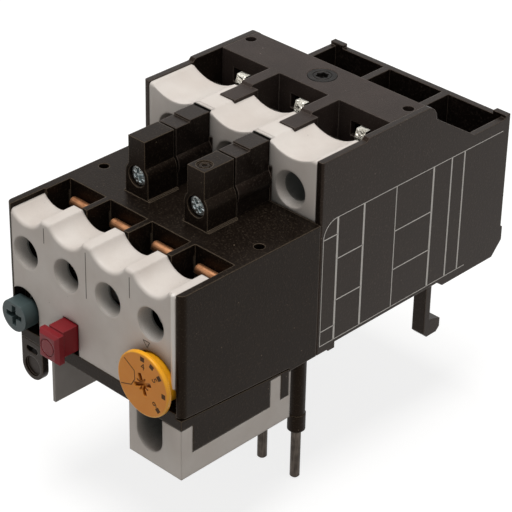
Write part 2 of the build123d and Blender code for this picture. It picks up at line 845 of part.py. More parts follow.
# Main housing: side walls, floor, heater chamber and the three open wells at the back
with BuildPart() as main_housing:
    with BuildSketch(side(0)):
        with BuildLine():
            Polyline(
                (front_depth, heel_z),
                (heel_step_y, heel_z),
                (heel_step_y, belly_z),
                (tail_y, belly_z),
                (tail_step_y, tail_z),
                (tail_end_y, tail_z),
                (foot_y, foot_z),
                (foot_y, foot_top_z),
                (body_depth, foot_top_z + play),
                (body_depth, rim_z),
                (rim_y, rim_z),
                (slope_top_y, slope_top_z),
            )
            RadiusArc(
                (slope_top_y, slope_top_z),
                (roof_back_y, roof_z),
                -roof_round,
            )
            Polyline(
                (roof_back_y, roof_z),
                (roof_front_y, roof_z),
                (roof_front_y - (roof_z - main_top_z), main_top_z),
                (front_depth, main_top_z),
                (front_depth, heel_z),
            )
        make_face()
    extrude(amount=width)
    bar((width - heel_peg_width, width), (heel_step_y, heel_peg_y), (heel_peg_z, belly_z))
    fillet(
        main_housing.edges().filter_by(Axis.Z).group_by(Axis.Y)[0],
        radius=main_corner_radius,
    )
    # Bay of the terminal cover, seat of the bridge piece and the heater chamber below them
    bar(
        inside,
        (front_depth - past, chamber_back_y),
        (ceiling_z + ceiling_thickness, roof_z + past),
        Mode.SUBTRACT,
    )
    bar(inside, (chamber_y, chamber_back_y), (inner_floor_z, ceiling_z), Mode.SUBTRACT)
    through_ceiling = (ceiling_z - past, ceiling_z + ceiling_thickness + past)
    bar(inside, (bay_back_y + bay_wall, chamber_back_y), through_ceiling, Mode.SUBTRACT)
    for x in phase_xs:
        bar(
            across(lead_width / 2 + play, x),
            (lead_y - play, bay_back_y + bay_wall + past),
            through_ceiling,
            Mode.SUBTRACT,
        )
    for x in tower_xs:
        bar(
            across(partition_thickness / 2, x),
            (roof_front_y, chamber_back_y),
            (partition_z, ceiling_z),
        )
    # Wells at the back, with two ribs between them
    bar(inside, (cell_front_y, cell_back_y), (rim_z, roof_z + past), Mode.SUBTRACT)
    well_lefts = [wall] + [x + cell_rib / 2 for x in tower_xs]
    well_rights = [x - cell_rib / 2 for x in tower_xs] + [width - wall]
    for well in zip(well_lefts, well_rights):
        bar(well, (cell_front_y, cell_back_y), (cell_floor_z, rim_z + past), Mode.SUBTRACT)
    for x in ((0, nub_reach), (width - nub_reach, width)):
        bar(x, (cell_back_y, body_depth), (rim_z, rim_z + nub_height))
    # Way for the slide's arm, rails under the slide, holes for the sleeves and sockets for the hooks
    bar(
        (arm_window_left, arm_window_right),
        (front_depth - past, chamber_y + past),
        (inner_floor_z, arm_window_top),
        Mode.SUBTRACT,
    )
    for y in across(slide_half_depth - slide_rail_width, heater_y):
        bar(inside, across(slide_rail_width / 2, y), (inner_floor_z, slide_z - running_gap))
    for x in pin_xs:
        post(x, pin_y, (heel_z - past, sleeve_top_z + play), sleeve_radius + play, Mode.SUBTRACT)
    for x in (hook_inset, width - hook_inset - hook_width):
        bar(
            (x - play, x + hook_width + play),
            (hook_y - play, hook_y + hook_stem + play),
            (tail_z - past, tail_z + hook_socket + play),
            Mode.SUBTRACT,
        )
    # Rear halves of the screw towers and the shelf that takes the ends of their screws
    for x in tower_xs:
        tower_rear = (tower_split_y + tower_gap, tower_back_y)
        bar(across(tower_foot_width / 2, x), tower_rear, (deck_z + play, tower_screw_z))
        rod(x, tower_screw_z, tower_rear, tower_barrel_radius)
        with BuildSketch(side(x - tower_fin_width / 2)) as fin:
            with BuildLine():
                Polyline(
                    (tower_back_y - tower_round, tower_top_z + tower_step),
                    (tower_step_y, tower_top_z + tower_step),
                    (tower_step_y, tower_top_z),
                    (tower_rear[0], tower_top_z),
                    (tower_rear[0], tower_screw_z),
                    (tower_back_y, tower_screw_z),
                    (tower_back_y, tower_top_z + tower_step - tower_round),
                )
                RadiusArc(
                    (tower_back_y, tower_top_z + tower_step - tower_round),
                    (tower_back_y - tower_round, tower_top_z + tower_step),
                    -tower_round,
                )
            make_face()
        extrude(fin.sketch, amount=tower_fin_width)
        bar(
            across(tower_base_width / 2, x),
            (front_depth, tower_shank_end_y),
            (ceiling_z + ceiling_thickness, tower_screw_z + tower_barrel_radius),
        )
        shank_hole = (tower_split_y, tower_shank_end_y + past)
        rod(x, tower_screw_z, shank_hole, tower_shank_radius + play, Mode.SUBTRACT)
finish(main_housing, "main_housing")

# Terminal cover: light hood over the three main terminal screws
with BuildPart() as terminal_cover:
    hood_sides = (wall + play, width - wall - play)
    hood_foot_z = ceiling_z + ceiling_thickness + play
    bar(hood_sides, (front_depth, hood_back_y), (hood_foot_z, hood_z))
    for x in phase_xs:
        rod(
            x,
            hood_scallop_z + hood_scallop_radius,
            (front_depth - past, hood_back_y + past),
            hood_scallop_radius,
            Mode.SUBTRACT,
        )
        funnel(
            x,
            main_screw_z,
            (front_depth, front_depth + main_funnel_depth),
            main_funnel_radius,
            main_bore_radius,
            Mode.SUBTRACT,
        )
        rod(x, main_screw_z, (front_depth, hood_back_y + past), main_bore_radius, Mode.SUBTRACT)
    hood_lip = terminal_cover.edges().group_by(Axis.Y)[0]
    fillet(
        hood_lip.filter_by_position(Axis.Z, floor + hood_scallop_z, floor + hood_z + play),
        radius=cover_lip_radius,
    )
    for x in tower_xs:
        bar(
            across(tower_base_width / 2 + play, x),
            (front_depth - past, tower_shank_end_y + play),
            (hood_foot_z - past, tower_screw_z + tower_barrel_radius + play),
            Mode.SUBTRACT,
        )
        bar(
            across(tower_fin_width / 2 + play, x),
            (front_depth - past, tower_back_y + play),
            (tower_screw_z, tower_top_z + tower_step + play),
            Mode.SUBTRACT,
        )
        bar(
            across(tab_width / 2 + play, x + tab_offset),
            (tab_front_y - play, hood_back_y + past),
            (tab_z - tab_thickness - play, roof_z),
            Mode.SUBTRACT,
        )
finish(terminal_cover, "terminal_cover")

# Bridge piece: roof over the heaters with the three open wire bays in front
with BuildPart() as heater_bridge:
    bridge_sides = (wall + play, width - wall - play)
    bridge_foot_z = ceiling_z + ceiling_thickness + play
    with BuildSketch(side(bridge_sides[0])):
        with BuildLine():
            Polyline(
                (hood_back_y + 2 * play, bridge_foot_z),
                (chamber_back_y - play, bridge_foot_z),
                (chamber_back_y - play, roof_under_z),
                (roof_back_y, roof_z),
                (roof_front_y, roof_z),
                (roof_front_y - (roof_z - main_top_z), main_top_z),
                (hood_back_y + 2 * play, main_top_z),
                close=True,
            )
        make_face()
    extrude(amount=bridge_sides[1] - bridge_sides[0])
    bar(
        bridge_sides,
        (bay_back_y + bay_wall, chamber_back_y - play - wall),
        (bridge_foot_z - past, roof_under_z),
        Mode.SUBTRACT,
    )
    for x in phase_xs:
        bar(
            across(bay_width / 2, x),
            (hood_back_y, bay_back_y),
            (bay_floor_z, roof_z + past),
            Mode.SUBTRACT,
        )
        bar(
            (x - bay_window_left, x + bay_window_right),
            (bay_back_y - past, bay_back_y + bay_wall + past),
            (bay_window_foot_z, bay_window_top_z),
            Mode.SUBTRACT,
        )
        bar(
            across(lead_width / 2 + play, x),
            (lead_y - play, lead_y + lead_thickness + play),
            (bridge_foot_z - past, bay_floor_z + past),
            Mode.SUBTRACT,
        )
    for x in tower_xs:
        bar(
            across(tab_width / 2, x + tab_offset),
            (tab_front_y, roof_front_y),
            (tab_z - tab_thickness, tab_z),
        )
    for x in (roof_hole_x, width - roof_hole_x):
        post(x, roof_hole_y, (roof_z - roof_hole_depth, roof_z + past), roof_hole_radius, Mode.SUBTRACT)
    post(phase_xs[1], roof_screw_y, (roof_under_z - past, roof_z + past), roof_screw_radius, Mode.SUBTRACT)
    with Locations(spot(phase_xs[1], roof_screw_y, roof_z - roof_screw_head_depth / 2)):
        Cone(
            roof_screw_radius + play,
            roof_screw_head_radius + play,
            roof_screw_head_depth,
            mode=Mode.SUBTRACT,
        )
finish(heater_bridge, "heater_bridge")

# Countersunk screw in the roof
with BuildPart() as roof_screw:
    screw_x = phase_xs[1]
    sink_z = roof_z - roof_screw_head_depth
    with Locations(spot(screw_x, roof_screw_y, roof_z - roof_screw_head_depth / 2)):
        Cone(roof_screw_radius - play, roof_screw_head_radius - play, roof_screw_head_depth)
    post(screw_x, roof_screw_y, (roof_z - roof_screw_length, sink_z), roof_screw_radius - play)
    post(
        screw_x,
        roof_screw_y,
        (roof_z - roof_screw_recess_depth, roof_z + past),
        roof_screw_recess_radius,
        Mode.SUBTRACT,
    )
finish(roof_screw, "roof_screw")

# Screws that hold the two blocks together
with BuildPart() as tower_screws:
    for x in tower_xs:
        head_y = tower_y + tower_head_recess
        rod(x, tower_screw_z, (head_y, head_y + tower_head_length), tower_head_radius)
        rod(x, tower_screw_z, (head_y, tower_shank_end_y - play), tower_shank_radius)
        slot_y = (head_y - past, head_y + tower_head_length / 2)
        cross_slot(x, tower_screw_z, slot_y, tower_head_radius * slot_share, slot_half_width)
finish(tower_screws, "tower_screws")

# Latch hooks that catch the contactor
with BuildPart() as latch_hooks:
    for x in (hook_inset, width - hook_inset - hook_width):
        with BuildSketch(side(x)) as hook:
            with BuildLine():
                Polyline(
                    (hook_y, tail_z + hook_socket),
                    (hook_y, hook_end_z + hook_nose),
                    (hook_y + hook_nose, hook_end_z),
                    (hook_y + hook_foot_length - hook_nose, hook_end_z),
                    (hook_y + hook_foot_length, hook_end_z + hook_nose),
                    (hook_y + hook_foot_length, hook_end_z + hook_foot_height),
                    (hook_y + hook_stem, hook_end_z + hook_foot_height + hook_nose),
                    (hook_y + hook_stem, tail_z + hook_socket),
                    close=True,
                )
            make_face()
        extrude(hook.sketch, amount=hook_width)
finish(latch_hooks, "latch_hooks")

# Auxiliary terminals: screws, clamping plates and copper contact strips
with BuildPart() as aux_terminal_screws:
    for x in aux_xs:
        rod(x, aux_screw_z, (aux_head_y, aux_head_y + aux_head_length), aux_head_radius)
        rod(x, aux_screw_z, (aux_head_y, strip_y - play), aux_shank_radius)
        slot_y = (aux_head_y - past, aux_head_y + aux_head_length / 2)
        cross_slot(x, aux_screw_z, slot_y, aux_head_radius * slot_share, slot_half_width)
finish(aux_terminal_screws, "aux_terminal_screws")

with BuildPart() as aux_clamp_plates:
    for x in aux_xs:
        bar(
            across(clamp_plate / 2, x),
            (clamp_y, clamp_y + clamp_plate_thickness),
            (pocket_floor_z + play, pocket_floor_z + play + clamp_plate),
        )
        plate_cut = (clamp_y - past, clamp_y + clamp_plate_thickness + past)
        rod(x, aux_screw_z, plate_cut, aux_shank_radius + play / 2, Mode.SUBTRACT)
finish(aux_clamp_plates, "aux_clamp_plates")


def contact_strip(x, rivet_y):
    """Upright copper strip with a rolled lip on top and a contact rivet at its foot."""
    lip_z = strip_top_z - lip_radius
    bar(across(strip_width / 2, x), (strip_y, strip_y + strip_thickness), (strip_foot_z, lip_z))
    with Locations(spot(x, strip_y + strip_thickness - lip_radius, lip_z)):
        Cylinder(lip_radius, strip_width, rotation=(0, 90, 0))
    rod(x, bridge_z + bridge_height / 2, rivet_y, rivet_radius)


open_y = (strip_y - rivet_height, strip_y)
closed_y = (strip_y + strip_thickness, strip_y + strip_thickness + rivet_height)

with BuildPart() as open_contact_strips:
    for x in strip_xs[:2]:
        contact_strip(x, open_y)
finish(open_contact_strips, "open_contact_strips")

with BuildPart() as closed_contact_strips:
    for x in strip_xs[2:]:
        contact_strip(x, closed_y)
finish(closed_contact_strips, "closed_contact_strips")

# Moving bridges of the two contact pairs, held by a sliding carrier
open_bridge_y = open_y[0] - rivet_height - contact_travel - play / 2
closed_bridge_y = closed_y[1] + play / 2 + rivet_height

with BuildPart() as open_bridge:
    bar(
        (strip_xs[0] - rivet_radius, carrier_left_x - play),
        (open_bridge_y - bridge_thickness, open_bridge_y),
        (bridge_z, bridge_z + bridge_height),
    )
    for x in strip_xs[:2]:
        rod(
            x,
            bridge_z + bridge_height / 2,
            (open_bridge_y - play, open_bridge_y + rivet_height),
            rivet_radius,
        )
finish(open_bridge, "open_bridge")

with BuildPart() as closed_bridge:
    bar(
        (carrier_right_x + play, strip_xs[3] + rivet_radius),
        (closed_bridge_y, closed_bridge_y + bridge_thickness),
        (bridge_z, bridge_z + bridge_height),
    )
    for x in strip_xs[2:]:
        rod(
            x,
            bridge_z + bridge_height / 2,
            (closed_bridge_y - rivet_height, closed_bridge_y + play),
            rivet_radius,
        )
finish(closed_bridge, "closed_bridge")

with BuildPart() as contact_carrier:
    lug_y = lever_y + lever_tip_radius + running_gap
    carrier_back_y = lug_y + carrier_lug_depth
    front_arm_y = open_bridge_y - bridge_thickness - play
    back_arm_y = closed_bridge_y + bridge_thickness + play
    bar((carrier_left_x, carrier_right_x), (carrier_front_y, carrier_back_y), (carrier_z, carrier_top_z))
    bar(
        (carrier_right_x, lever_x - lever_reach + 2 * lever_tip_radius),
        (lug_y, carrier_back_y),
        (carrier_z, carrier_top_z),
    )
    bar(
        (strip_xs[1], carrier_left_x),
        (front_arm_y - carrier_arm_thickness, front_arm_y),
        (carrier_z, carrier_top_z),
    )
    bar(
        (carrier_right_x, strip_xs[2] + rivet_radius),
        (back_arm_y, back_arm_y + carrier_arm_thickness),
        (carrier_z, carrier_top_z),
    )
finish(contact_carrier, "contact_carrier")

# Main terminals: screws, yokes with a serrated ear, and the leads down to the heaters
with BuildPart() as main_terminal_screws:
    for x in phase_xs:
        rod(x, main_screw_z, (main_head_y, main_head_y + main_head_length), main_head_radius)
        rod(x, main_screw_z, (main_head_y, main_shank_end_y), main_shank_radius)
        slot_y = (main_head_y - past, main_head_y + main_head_length / 2)
        cross_slot(x, main_screw_z, slot_y, main_head_radius * slot_share, slot_half_width)
finish(main_terminal_screws, "main_terminal_screws")

with BuildPart() as main_terminal_yokes:
    for x in phase_xs:
        bar(
            across(bay_width / 2 - play, x),
            (yoke_y, yoke_y + yoke_thickness),
            (yoke_z, yoke_top_z),
        )
        with BuildSketch(side(x + ear_left)) as ear:
            with BuildLine():
                Polyline(
                    (yoke_y + yoke_thickness, yoke_top_z - ear_drop),
                    (yoke_y + yoke_thickness, ear_z),
                    (yoke_y, ear_z),
                    (ear_y, ear_z - ear_drop),
                    (ear_y, ear_z - ear_drop - yoke_thickness),
                    (yoke_y, yoke_top_z - ear_drop),
                    close=True,
                )
            make_face()
        extrude(ear.sketch, amount=ear_right - ear_left)
        yoke_cut = (yoke_y - past, yoke_y + yoke_thickness + past)
        rod(x, main_screw_z, yoke_cut, main_shank_radius + play / 2, Mode.SUBTRACT)
finish(main_terminal_yokes, "main_terminal_yokes")

ribbon_half_x = bimetal_thickness / 2 + mica_gap + mica_wall + ribbon_gap + ribbon_wall
ribbon_half_y = bimetal_width / 2 + mica_gap + mica_wall + ribbon_gap + ribbon_wall
ribbon_top_z = ribbon_foot_z + (ribbon_turns - 1) * ribbon_pitch + ribbon_height

with BuildPart() as terminal_leads:
    for x in phase_xs:
        bar(across(lead_width / 2, x), (lead_y, lead_y + lead_thickness), (lead_foot_z, lead_top_z))
        bar(
            across(ribbon_half_x, x),
            (lead_y, heater_y - ribbon_half_y - play),
            (ribbon_top_z - ribbon_height, ribbon_top_z),
        )
finish(terminal_leads, "terminal_leads")

# Power pins, and the links from them to the heaters, one above the other
link_zs = [link_z + i * link_step for i in range(pin_count)]

with BuildPart() as power_pins:
    for x, low in zip(pin_xs, link_zs):
        post(x, pin_y, (pin_end_z, sleeve_end_z), pin_radius)
        post(x, pin_y, (sleeve_end_z, low), pin_root_radius)
    pin_tips = power_pins.edges().filter_by(GeomType.CIRCLE).group_by(Axis.Z)[0]
    chamfer(pin_tips, length=pin_tip_bevel)
finish(power_pins, "power_pins")

with BuildPart() as heater_links:
    for pin_x, phase_x, low in zip(pin_xs, phase_xs, link_zs):
        run = sorted((pin_x, phase_x))
        bar(
            (run[0] - link_width / 2, run[1] + link_width / 2),
            (pin_y - pin_radius, pin_y - pin_radius + link_width),
            (low, low + link_thickness),
        )
        bar(
            across(link_width / 2, phase_x),
            (pin_y, heater_y - ribbon_half_y - play),
            (low, low + link_thickness),
        )
        bar(
            across(link_width / 2, phase_x),
            (heater_y - ribbon_half_y - play - link_thickness, heater_y - ribbon_half_y - play),
            (low, ribbon_foot_z + ribbon_height),
        )
finish(heater_links, "heater_links")

with BuildPart() as pin_sleeves:
    for x in pin_xs:
        post(x, pin_y, (sleeve_end_z, sleeve_top_z), sleeve_radius)
        post(x, pin_y, (sleeve_end_z, sleeve_end_z + sleeve_flare), sleeve_end_radius)
    sleeve_rims = pin_sleeves.edges().filter_by(GeomType.CIRCLE).group_by(Axis.Z)[0]
    chamfer(sleeve_rims, length=sleeve_end_bevel)
    for x in pin_xs:
        post(x, pin_y, (sleeve_end_z - past, sleeve_top_z + past), pin_root_radius + play / 2, Mode.SUBTRACT)
finish(pin_sleeves, "pin_sleeves")

# Heaters: bimetal strips hung from brackets, mica sleeves and resistance ribbons
with BuildPart() as bimetal_strips:
    for x in phase_xs:
        bar(
            across(bimetal_thickness / 2, x),
            across(bimetal_width / 2, heater_y),
            (bimetal_foot_z, bimetal_top_z),
        )
finish(bimetal_strips, "bimetal_strips")

with BuildPart() as bimetal_brackets:
    for x in phase_xs:
        bar(
            across(bracket_width / 2, x),
            across(bimetal_width / 2 - play, heater_y),
            (bracket_foot_z, roof_under_z - play),
        )
        bar(
            across(bimetal_thickness / 2 + play / 2, x),
            across(bimetal_width, heater_y),
            (bracket_foot_z - past, bimetal_top_z + play),
            Mode.SUBTRACT,
        )
finish(bimetal_brackets, "bimetal_brackets")

with BuildPart() as mica_sleeves:
    inner_x = bimetal_thickness / 2 + mica_gap
    inner_y = bimetal_width / 2 + mica_gap
    for x in phase_xs:
        bar(
            across(inner_x + mica_wall, x),
            across(inner_y + mica_wall, heater_y),
            (mica_foot_z, mica_top_z),
        )
        bar(
            across(inner_x, x),
            across(inner_y, heater_y),
            (mica_foot_z - past, mica_top_z + past),
            Mode.SUBTRACT,
        )
finish(mica_sleeves, "mica_sleeves")

with BuildPart() as heater_ribbons:
    for x in phase_xs:
        turn_zs = [ribbon_foot_z + i * ribbon_pitch for i in range(ribbon_turns)]
        for z in turn_zs:
            bar(
                across(ribbon_half_x, x),
                across(ribbon_half_y, heater_y),
                (z, z + ribbon_height),
            )
        for i, z in enumerate(turn_zs[:-1]):
            corner_x = ribbon_half_x - ribbon_wall / 2
            link_x = x + corner_x if i % 2 else x - corner_x
            bar(
                across(ribbon_wall / 2, link_x),
                (heater_y + ribbon_half_y - ribbon_height, heater_y + ribbon_half_y),
                (z, z + ribbon_pitch + ribbon_height / 2),
            )
        bar(
            across(ribbon_half_x - ribbon_wall, x),
            across(ribbon_half_y - ribbon_wall, heater_y),
            (ribbon_foot_z - past, ribbon_top_z + past),
            Mode.SUBTRACT,
        )
finish(heater_ribbons, "heater_ribbons")

# Trip slide: the bimetal strips push its fingers, and its arm reaches the lever in the front block
with BuildPart() as trip_slide:
    slide_level = (slide_z, slide_z + slide_thickness)
    bar((slide_left_x, slide_right_x), across(slide_half_depth, heater_y), slide_level)
    for x in phase_xs:
        finger_x = x + bimetal_thickness / 2 + running_gap
        bar(
            (finger_x, finger_x + slide_finger_thickness),
            across(bimetal_width / 2, heater_y),
            (slide_z, slide_finger_top_z),
        )
    bar((arm_x, arm_x + arm_width), (arm_tip_y, heater_y), slide_level)
    pusher_x = lever_x - compensator_thickness / 2 - running_gap
    bar((arm_x, pusher_x), (arm_tip_y, arm_tip_y + arm_tip_depth), slide_level)
    bar(
        (pusher_x - pusher_width, pusher_x),
        across(pusher_depth / 2, lever_y + lever_reach),
        (slide_z, pusher_top_z),
    )
finish(trip_slide, "trip_slide")

# Trip lever with the temperature compensating strip, on its pin
with BuildPart() as trip_lever:
    post(lever_x, lever_y, (lever_foot_z, lever_top_z), lever_hub_radius)
    bar(
        (lever_x - lever_reach, lever_x),
        across(lever_arm_width / 2, lever_y),
        (lever_arm_z, lever_top_z),
    )
    post(lever_x - lever_reach, lever_y, (lever_arm_z, lever_top_z), lever_tip_radius)
    hub_cut = (lever_foot_z - past, lever_top_z + past)
    post(lever_x, lever_y, hub_cut, lever_pin_radius + shaft_play, Mode.SUBTRACT)
    bar(
        across(compensator_thickness / 2 + play / 2, lever_x),
        (lever_y + lever_hub_radius - lever_slot_depth, lever_y + lever_hub_radius + past),
        (compensator_foot_z - play, compensator_top_z + play),
        Mode.SUBTRACT,
    )
finish(trip_lever, "trip_lever")

with BuildPart() as compensating_strip:
    bar(
        across(compensator_thickness / 2, lever_x),
        (lever_y + lever_hub_radius - lever_slot_depth + play, compensator_end_y),
        (compensator_foot_z, compensator_top_z),
    )
finish(compensating_strip, "compensating_strip")

with BuildPart() as pivot_pins:
    post(lever_x, lever_y, (base_top_z + play, carrier_top_z), lever_pin_radius)
    post(follower_x, follower_y, (base_top_z + play, follower_top_z + play), follower_pin_radius)
finish(pivot_pins, "pivot_pins")

# Cam follower that the dial's cam swings
with BuildPart() as cam_follower:
    post(follower_x, follower_y, (follower_foot_z, follower_top_z), follower_hub_radius)
    bar(
        across(follower_arm_width / 2, follower_x),
        (cam_y + running_gap, follower_y),
        (follower_foot_z, follower_top_z),
    )
    bar(
        (follower_x, dial_x - cam_low - running_gap),
        (cam_y + running_gap, cam_y + cam_length - running_gap),
        (follower_foot_z, follower_top_z),
    )
    post(
        follower_x,
        follower_y,
        (follower_foot_z - past, follower_top_z + past),
        follower_pin_radius + shaft_play,
        Mode.SUBTRACT,
    )
finish(cam_follower, "cam_follower")

# Current dial: disc and drum in front, shaft through the bearing, cam behind it
with BuildPart() as current_dial:
    rod(dial_x, dial_z, (dial_face_y, dial_face_y + dial_thickness), dial_radius)
    rod(dial_x, dial_z, (dial_face_y, drum_end_y), drum_radius)
    rod(dial_x, dial_z, (dial_face_y, dial_shaft_end_y), dial_shaft_radius)
    slot_y = (dial_face_y - past, dial_face_y + dial_slot_depth)
    cross_slot(dial_x, dial_z, slot_y, dial_slot_reach, dial_slot_width / 2)
finish(current_dial, "current_dial")

with BuildPart() as dial_cam:
    with BuildSketch(station(cam_y + cam_length)):
        with BuildLine():
            rise = []
            for i in range(cam_steps + 1):
                turned = i / cam_steps
                angle = radians(dial_turn * (1 - turned))
                reach = cam_low + cam_rise * turned
                rise.append((dial_x + reach * cos(angle), dial_z + reach * sin(angle)))
            Spline(*rise)
            Line(rise[-1], (dial_x + cam_low, dial_z))
            CenterArc((dial_x, dial_z), cam_low, 0, -180)
        make_face()
        with Locations((dial_x, dial_z)):
            Circle(dial_shaft_radius, mode=Mode.SUBTRACT)
    extrude(amount=cam_length)
finish(dial_cam, "dial_cam")

# Reset knob on its shaft, the selector sleeve it turns and its return spring
with BuildPart() as reset_knob:
    rod(knob_x, knob_z, (knob_face_y, knob_face_y + knob_head_length), knob_radius)
    bar(
        across(knob_radius + past, knob_x),
        (knob_face_y - past, knob_face_y + knob_head_length + play),
        (knob_z + knob_flat, knob_z + knob_radius + past),
        Mode.SUBTRACT,
    )
    rod(knob_x, knob_z, (knob_face_y, knob_collar_y + knob_collar_length), knob_shaft_radius)
    rod(knob_x, knob_z, (knob_collar_y, knob_collar_y + knob_collar_length), knob_collar_radius)
    slot_y = (knob_face_y - past, knob_face_y + knob_slot_depth)
    cross_slot(knob_x, knob_z, slot_y, knob_radius * knob_slot_share, knob_slot / 2)
finish(reset_knob, "reset_knob")

with BuildPart() as selector_sleeve:
    rod(knob_x, knob_z, (selector_y, selector_y + selector_length), selector_radius)
    sleeve_cut = (selector_y - past, selector_y + selector_length + past)
    rod(knob_x, knob_z, sleeve_cut, knob_shaft_radius + shaft_play, Mode.SUBTRACT)
finish(selector_sleeve, "selector_sleeve")

with BuildPart() as test_button:
    half_width = test_head_width / 2
    half_height = test_head_height / 2
    bar(
        across(half_width, test_head_x),
        (test_face_y, test_face_y + test_head_thickness),
        across(half_height, test_head_z),
    )
    chamfer(test_button.faces().sort_by(Axis.Y)[0].edges(), length=test_head_bevel)
    bar(
        across(test_shaft_width / 2, test_x),
        (test_face_y + test_head_thickness, test_shaft_end_y),
        across(test_shaft_height / 2, test_z),
    )
    rod(test_x, test_z, (test_shaft_end_y, test_stem_end_y), test_stem_radius)
    with BuildSketch(station(test_face_y + groove_depth)):
        with Locations((test_head_x, test_head_z)):
            Circle(groove_radius)
            Circle(groove_radius - groove_width, mode=Mode.SUBTRACT)
    extrude(amount=groove_depth + past, mode=Mode.SUBTRACT)
finish(test_button, "test_button")


def coil_spring(name, x, z, y, radius):
    """Return spring along y: a round wire on a helix between two values of y."""
    length = y[1] - y[0] - spring_wire
    with BuildPart() as spring:
        with BuildLine() as path:
            Helix(
                pitch=length / spring_turns,
                height=length,
                radius=radius,
                center=spot(x, y[0] + spring_wire / 2, z).position,
                direction=(0, 1, 0),
            )
        with BuildSketch(Plane(origin=path.line @ 0, z_dir=path.line % 0)):
            Circle(spring_wire / 2)
        sweep(is_frenet=True)
    finish(spring, name)


coil_spring(
    "knob_spring",
    knob_x,
    knob_z,
    (knob_collar_y + knob_collar_length + play, knob_spring_seat_y - play),
    knob_spring_radius,
)
coil_spring(
    "test_spring",
    test_x,
    test_z,
    (test_shaft_end_y + play, test_spring_seat_y - play),
    test_spring_radius,
)
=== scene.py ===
# %% [markdown]
# Thermal overload protector: the looks.
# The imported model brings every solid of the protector, and each of them keeps its place and its shape here.
# This lesson gives them their finishes, and it adds what is too fine for the solids: recessed screw heads,
# the setting dial with its marks, the rolled copper lips and the crumpled tin ears in the wire openings.

import bmesh
import bpy
import numpy as np
from mathutils import Matrix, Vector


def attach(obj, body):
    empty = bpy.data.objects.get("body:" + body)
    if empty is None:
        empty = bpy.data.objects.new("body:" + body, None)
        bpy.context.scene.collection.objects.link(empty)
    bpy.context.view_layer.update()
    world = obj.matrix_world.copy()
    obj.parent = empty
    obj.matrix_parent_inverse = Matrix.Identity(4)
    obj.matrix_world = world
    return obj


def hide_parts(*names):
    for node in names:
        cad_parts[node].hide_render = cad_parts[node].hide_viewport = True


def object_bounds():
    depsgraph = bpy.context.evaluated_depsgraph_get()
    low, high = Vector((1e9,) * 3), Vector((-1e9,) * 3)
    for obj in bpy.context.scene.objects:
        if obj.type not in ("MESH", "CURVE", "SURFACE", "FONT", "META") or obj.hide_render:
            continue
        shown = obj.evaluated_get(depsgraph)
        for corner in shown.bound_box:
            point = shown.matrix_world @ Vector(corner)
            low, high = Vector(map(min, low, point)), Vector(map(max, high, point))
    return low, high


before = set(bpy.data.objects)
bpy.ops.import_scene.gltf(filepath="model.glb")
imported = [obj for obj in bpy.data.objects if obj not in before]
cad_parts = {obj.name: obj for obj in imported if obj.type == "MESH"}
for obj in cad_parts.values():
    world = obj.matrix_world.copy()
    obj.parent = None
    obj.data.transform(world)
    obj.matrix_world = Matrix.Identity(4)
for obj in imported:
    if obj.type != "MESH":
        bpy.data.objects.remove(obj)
scene = bpy.context.scene
cad_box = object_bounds()
print("CAD nodes:", len(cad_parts))

# %% [markdown]
# All places are read on the real object in millimetres: from its left side, from the face of its front
# cover and from the lower edge of its side walls. The model's own origin is where the middle power pin
# leaves its sleeve. One function turns the one into the other, so every piece can be written as measured.

# %% Places in millimetres
origin_mm = np.array((29.9, 36.4, -23.65))
width_mm = 45.0
roof_z = 37.7
tower_x = (15.0, 30.0)
tower_screw_z = 28.8
main_x = (7.5, 22.5, 37.5)
aux_steps = 10.8 * np.arange(4)


def at(points):
    """Metres in the model's frame: (measured millimetres - origin) / 1000."""
    return (np.asarray(points, float) - origin_mm) / 1000


print("front left corner of the cover:", at((0, 0, 0)).round(4))

# %% [markdown]
# The camera could be aimed by eye, but straight edges of the photograph already gave its place: the
# picture's right, up and back directions follow from azimuth, elevation and a small roll. A long lens
# keeps the far end of the object nearly as large as the near end.

# %% Camera
azimuth, elevation, roll = np.radians((43.646, 31.352, 1.192))
level_right = np.array((np.cos(azimuth), np.sin(azimuth), 0))
back = np.array((np.sin(azimuth) * np.cos(elevation), -np.cos(azimuth) * np.cos(elevation),
                 np.sin(elevation)))
level_up = np.cross(back, level_right)
right = level_right * np.cos(roll) + level_up * np.sin(roll)
up = level_up * np.cos(roll) - level_right * np.sin(roll)
eye = at((264.487, -212.394, 219.203))
focal_pixels, picture_pixels = 2183, 512

camera_data = bpy.data.cameras.new("camera")
camera_data.sensor_width = 36
camera_data.lens = camera_data.sensor_width * focal_pixels / picture_pixels
camera_data.clip_start = 0.01
camera = bpy.data.objects.new("camera", camera_data)
camera.matrix_world = Matrix([[right[i], up[i], back[i], eye[i]] for i in range(3)] + [[0, 0, 0, 1]])
scene.collection.objects.link(camera)
scene.camera = camera
print("lens:", round(camera_data.lens, 1), "mm")

# %% [markdown]
# A finish is a small network of nodes. One function adds a node with its settings and its links, and one
# turns the hex colours that a colour picker shows into the linear values that the renderer works in.


# %% Helpers for finishes
def linear(hex_text):
    """Linear colour of an sRGB hex text: c / 12.92 below 0.04045, else ((c + 0.055) / 1.055) ** 2.4."""
    c = np.array([int(hex_text[i:i + 2], 16) for i in (1, 3, 5)]) / 255
    c = np.where(c <= 0.04045, c / 12.92, ((c + 0.055) / 1.055) ** 2.4)
    return (*c.tolist(), 1.0)


def add(tree, kind, settings=None, links=None):
    """Add a node; settings are its own fields, links give each input a value or another node's output."""
    node = tree.nodes.new(kind)
    for field, value in (settings or {}).items():
        setattr(node, field, value)
    for key, value in (links or {}).items():
        if isinstance(value, bpy.types.NodeSocket):
            tree.links.new(value, node.inputs[key])
        else:
            node.inputs[key].default_value = value
    return node


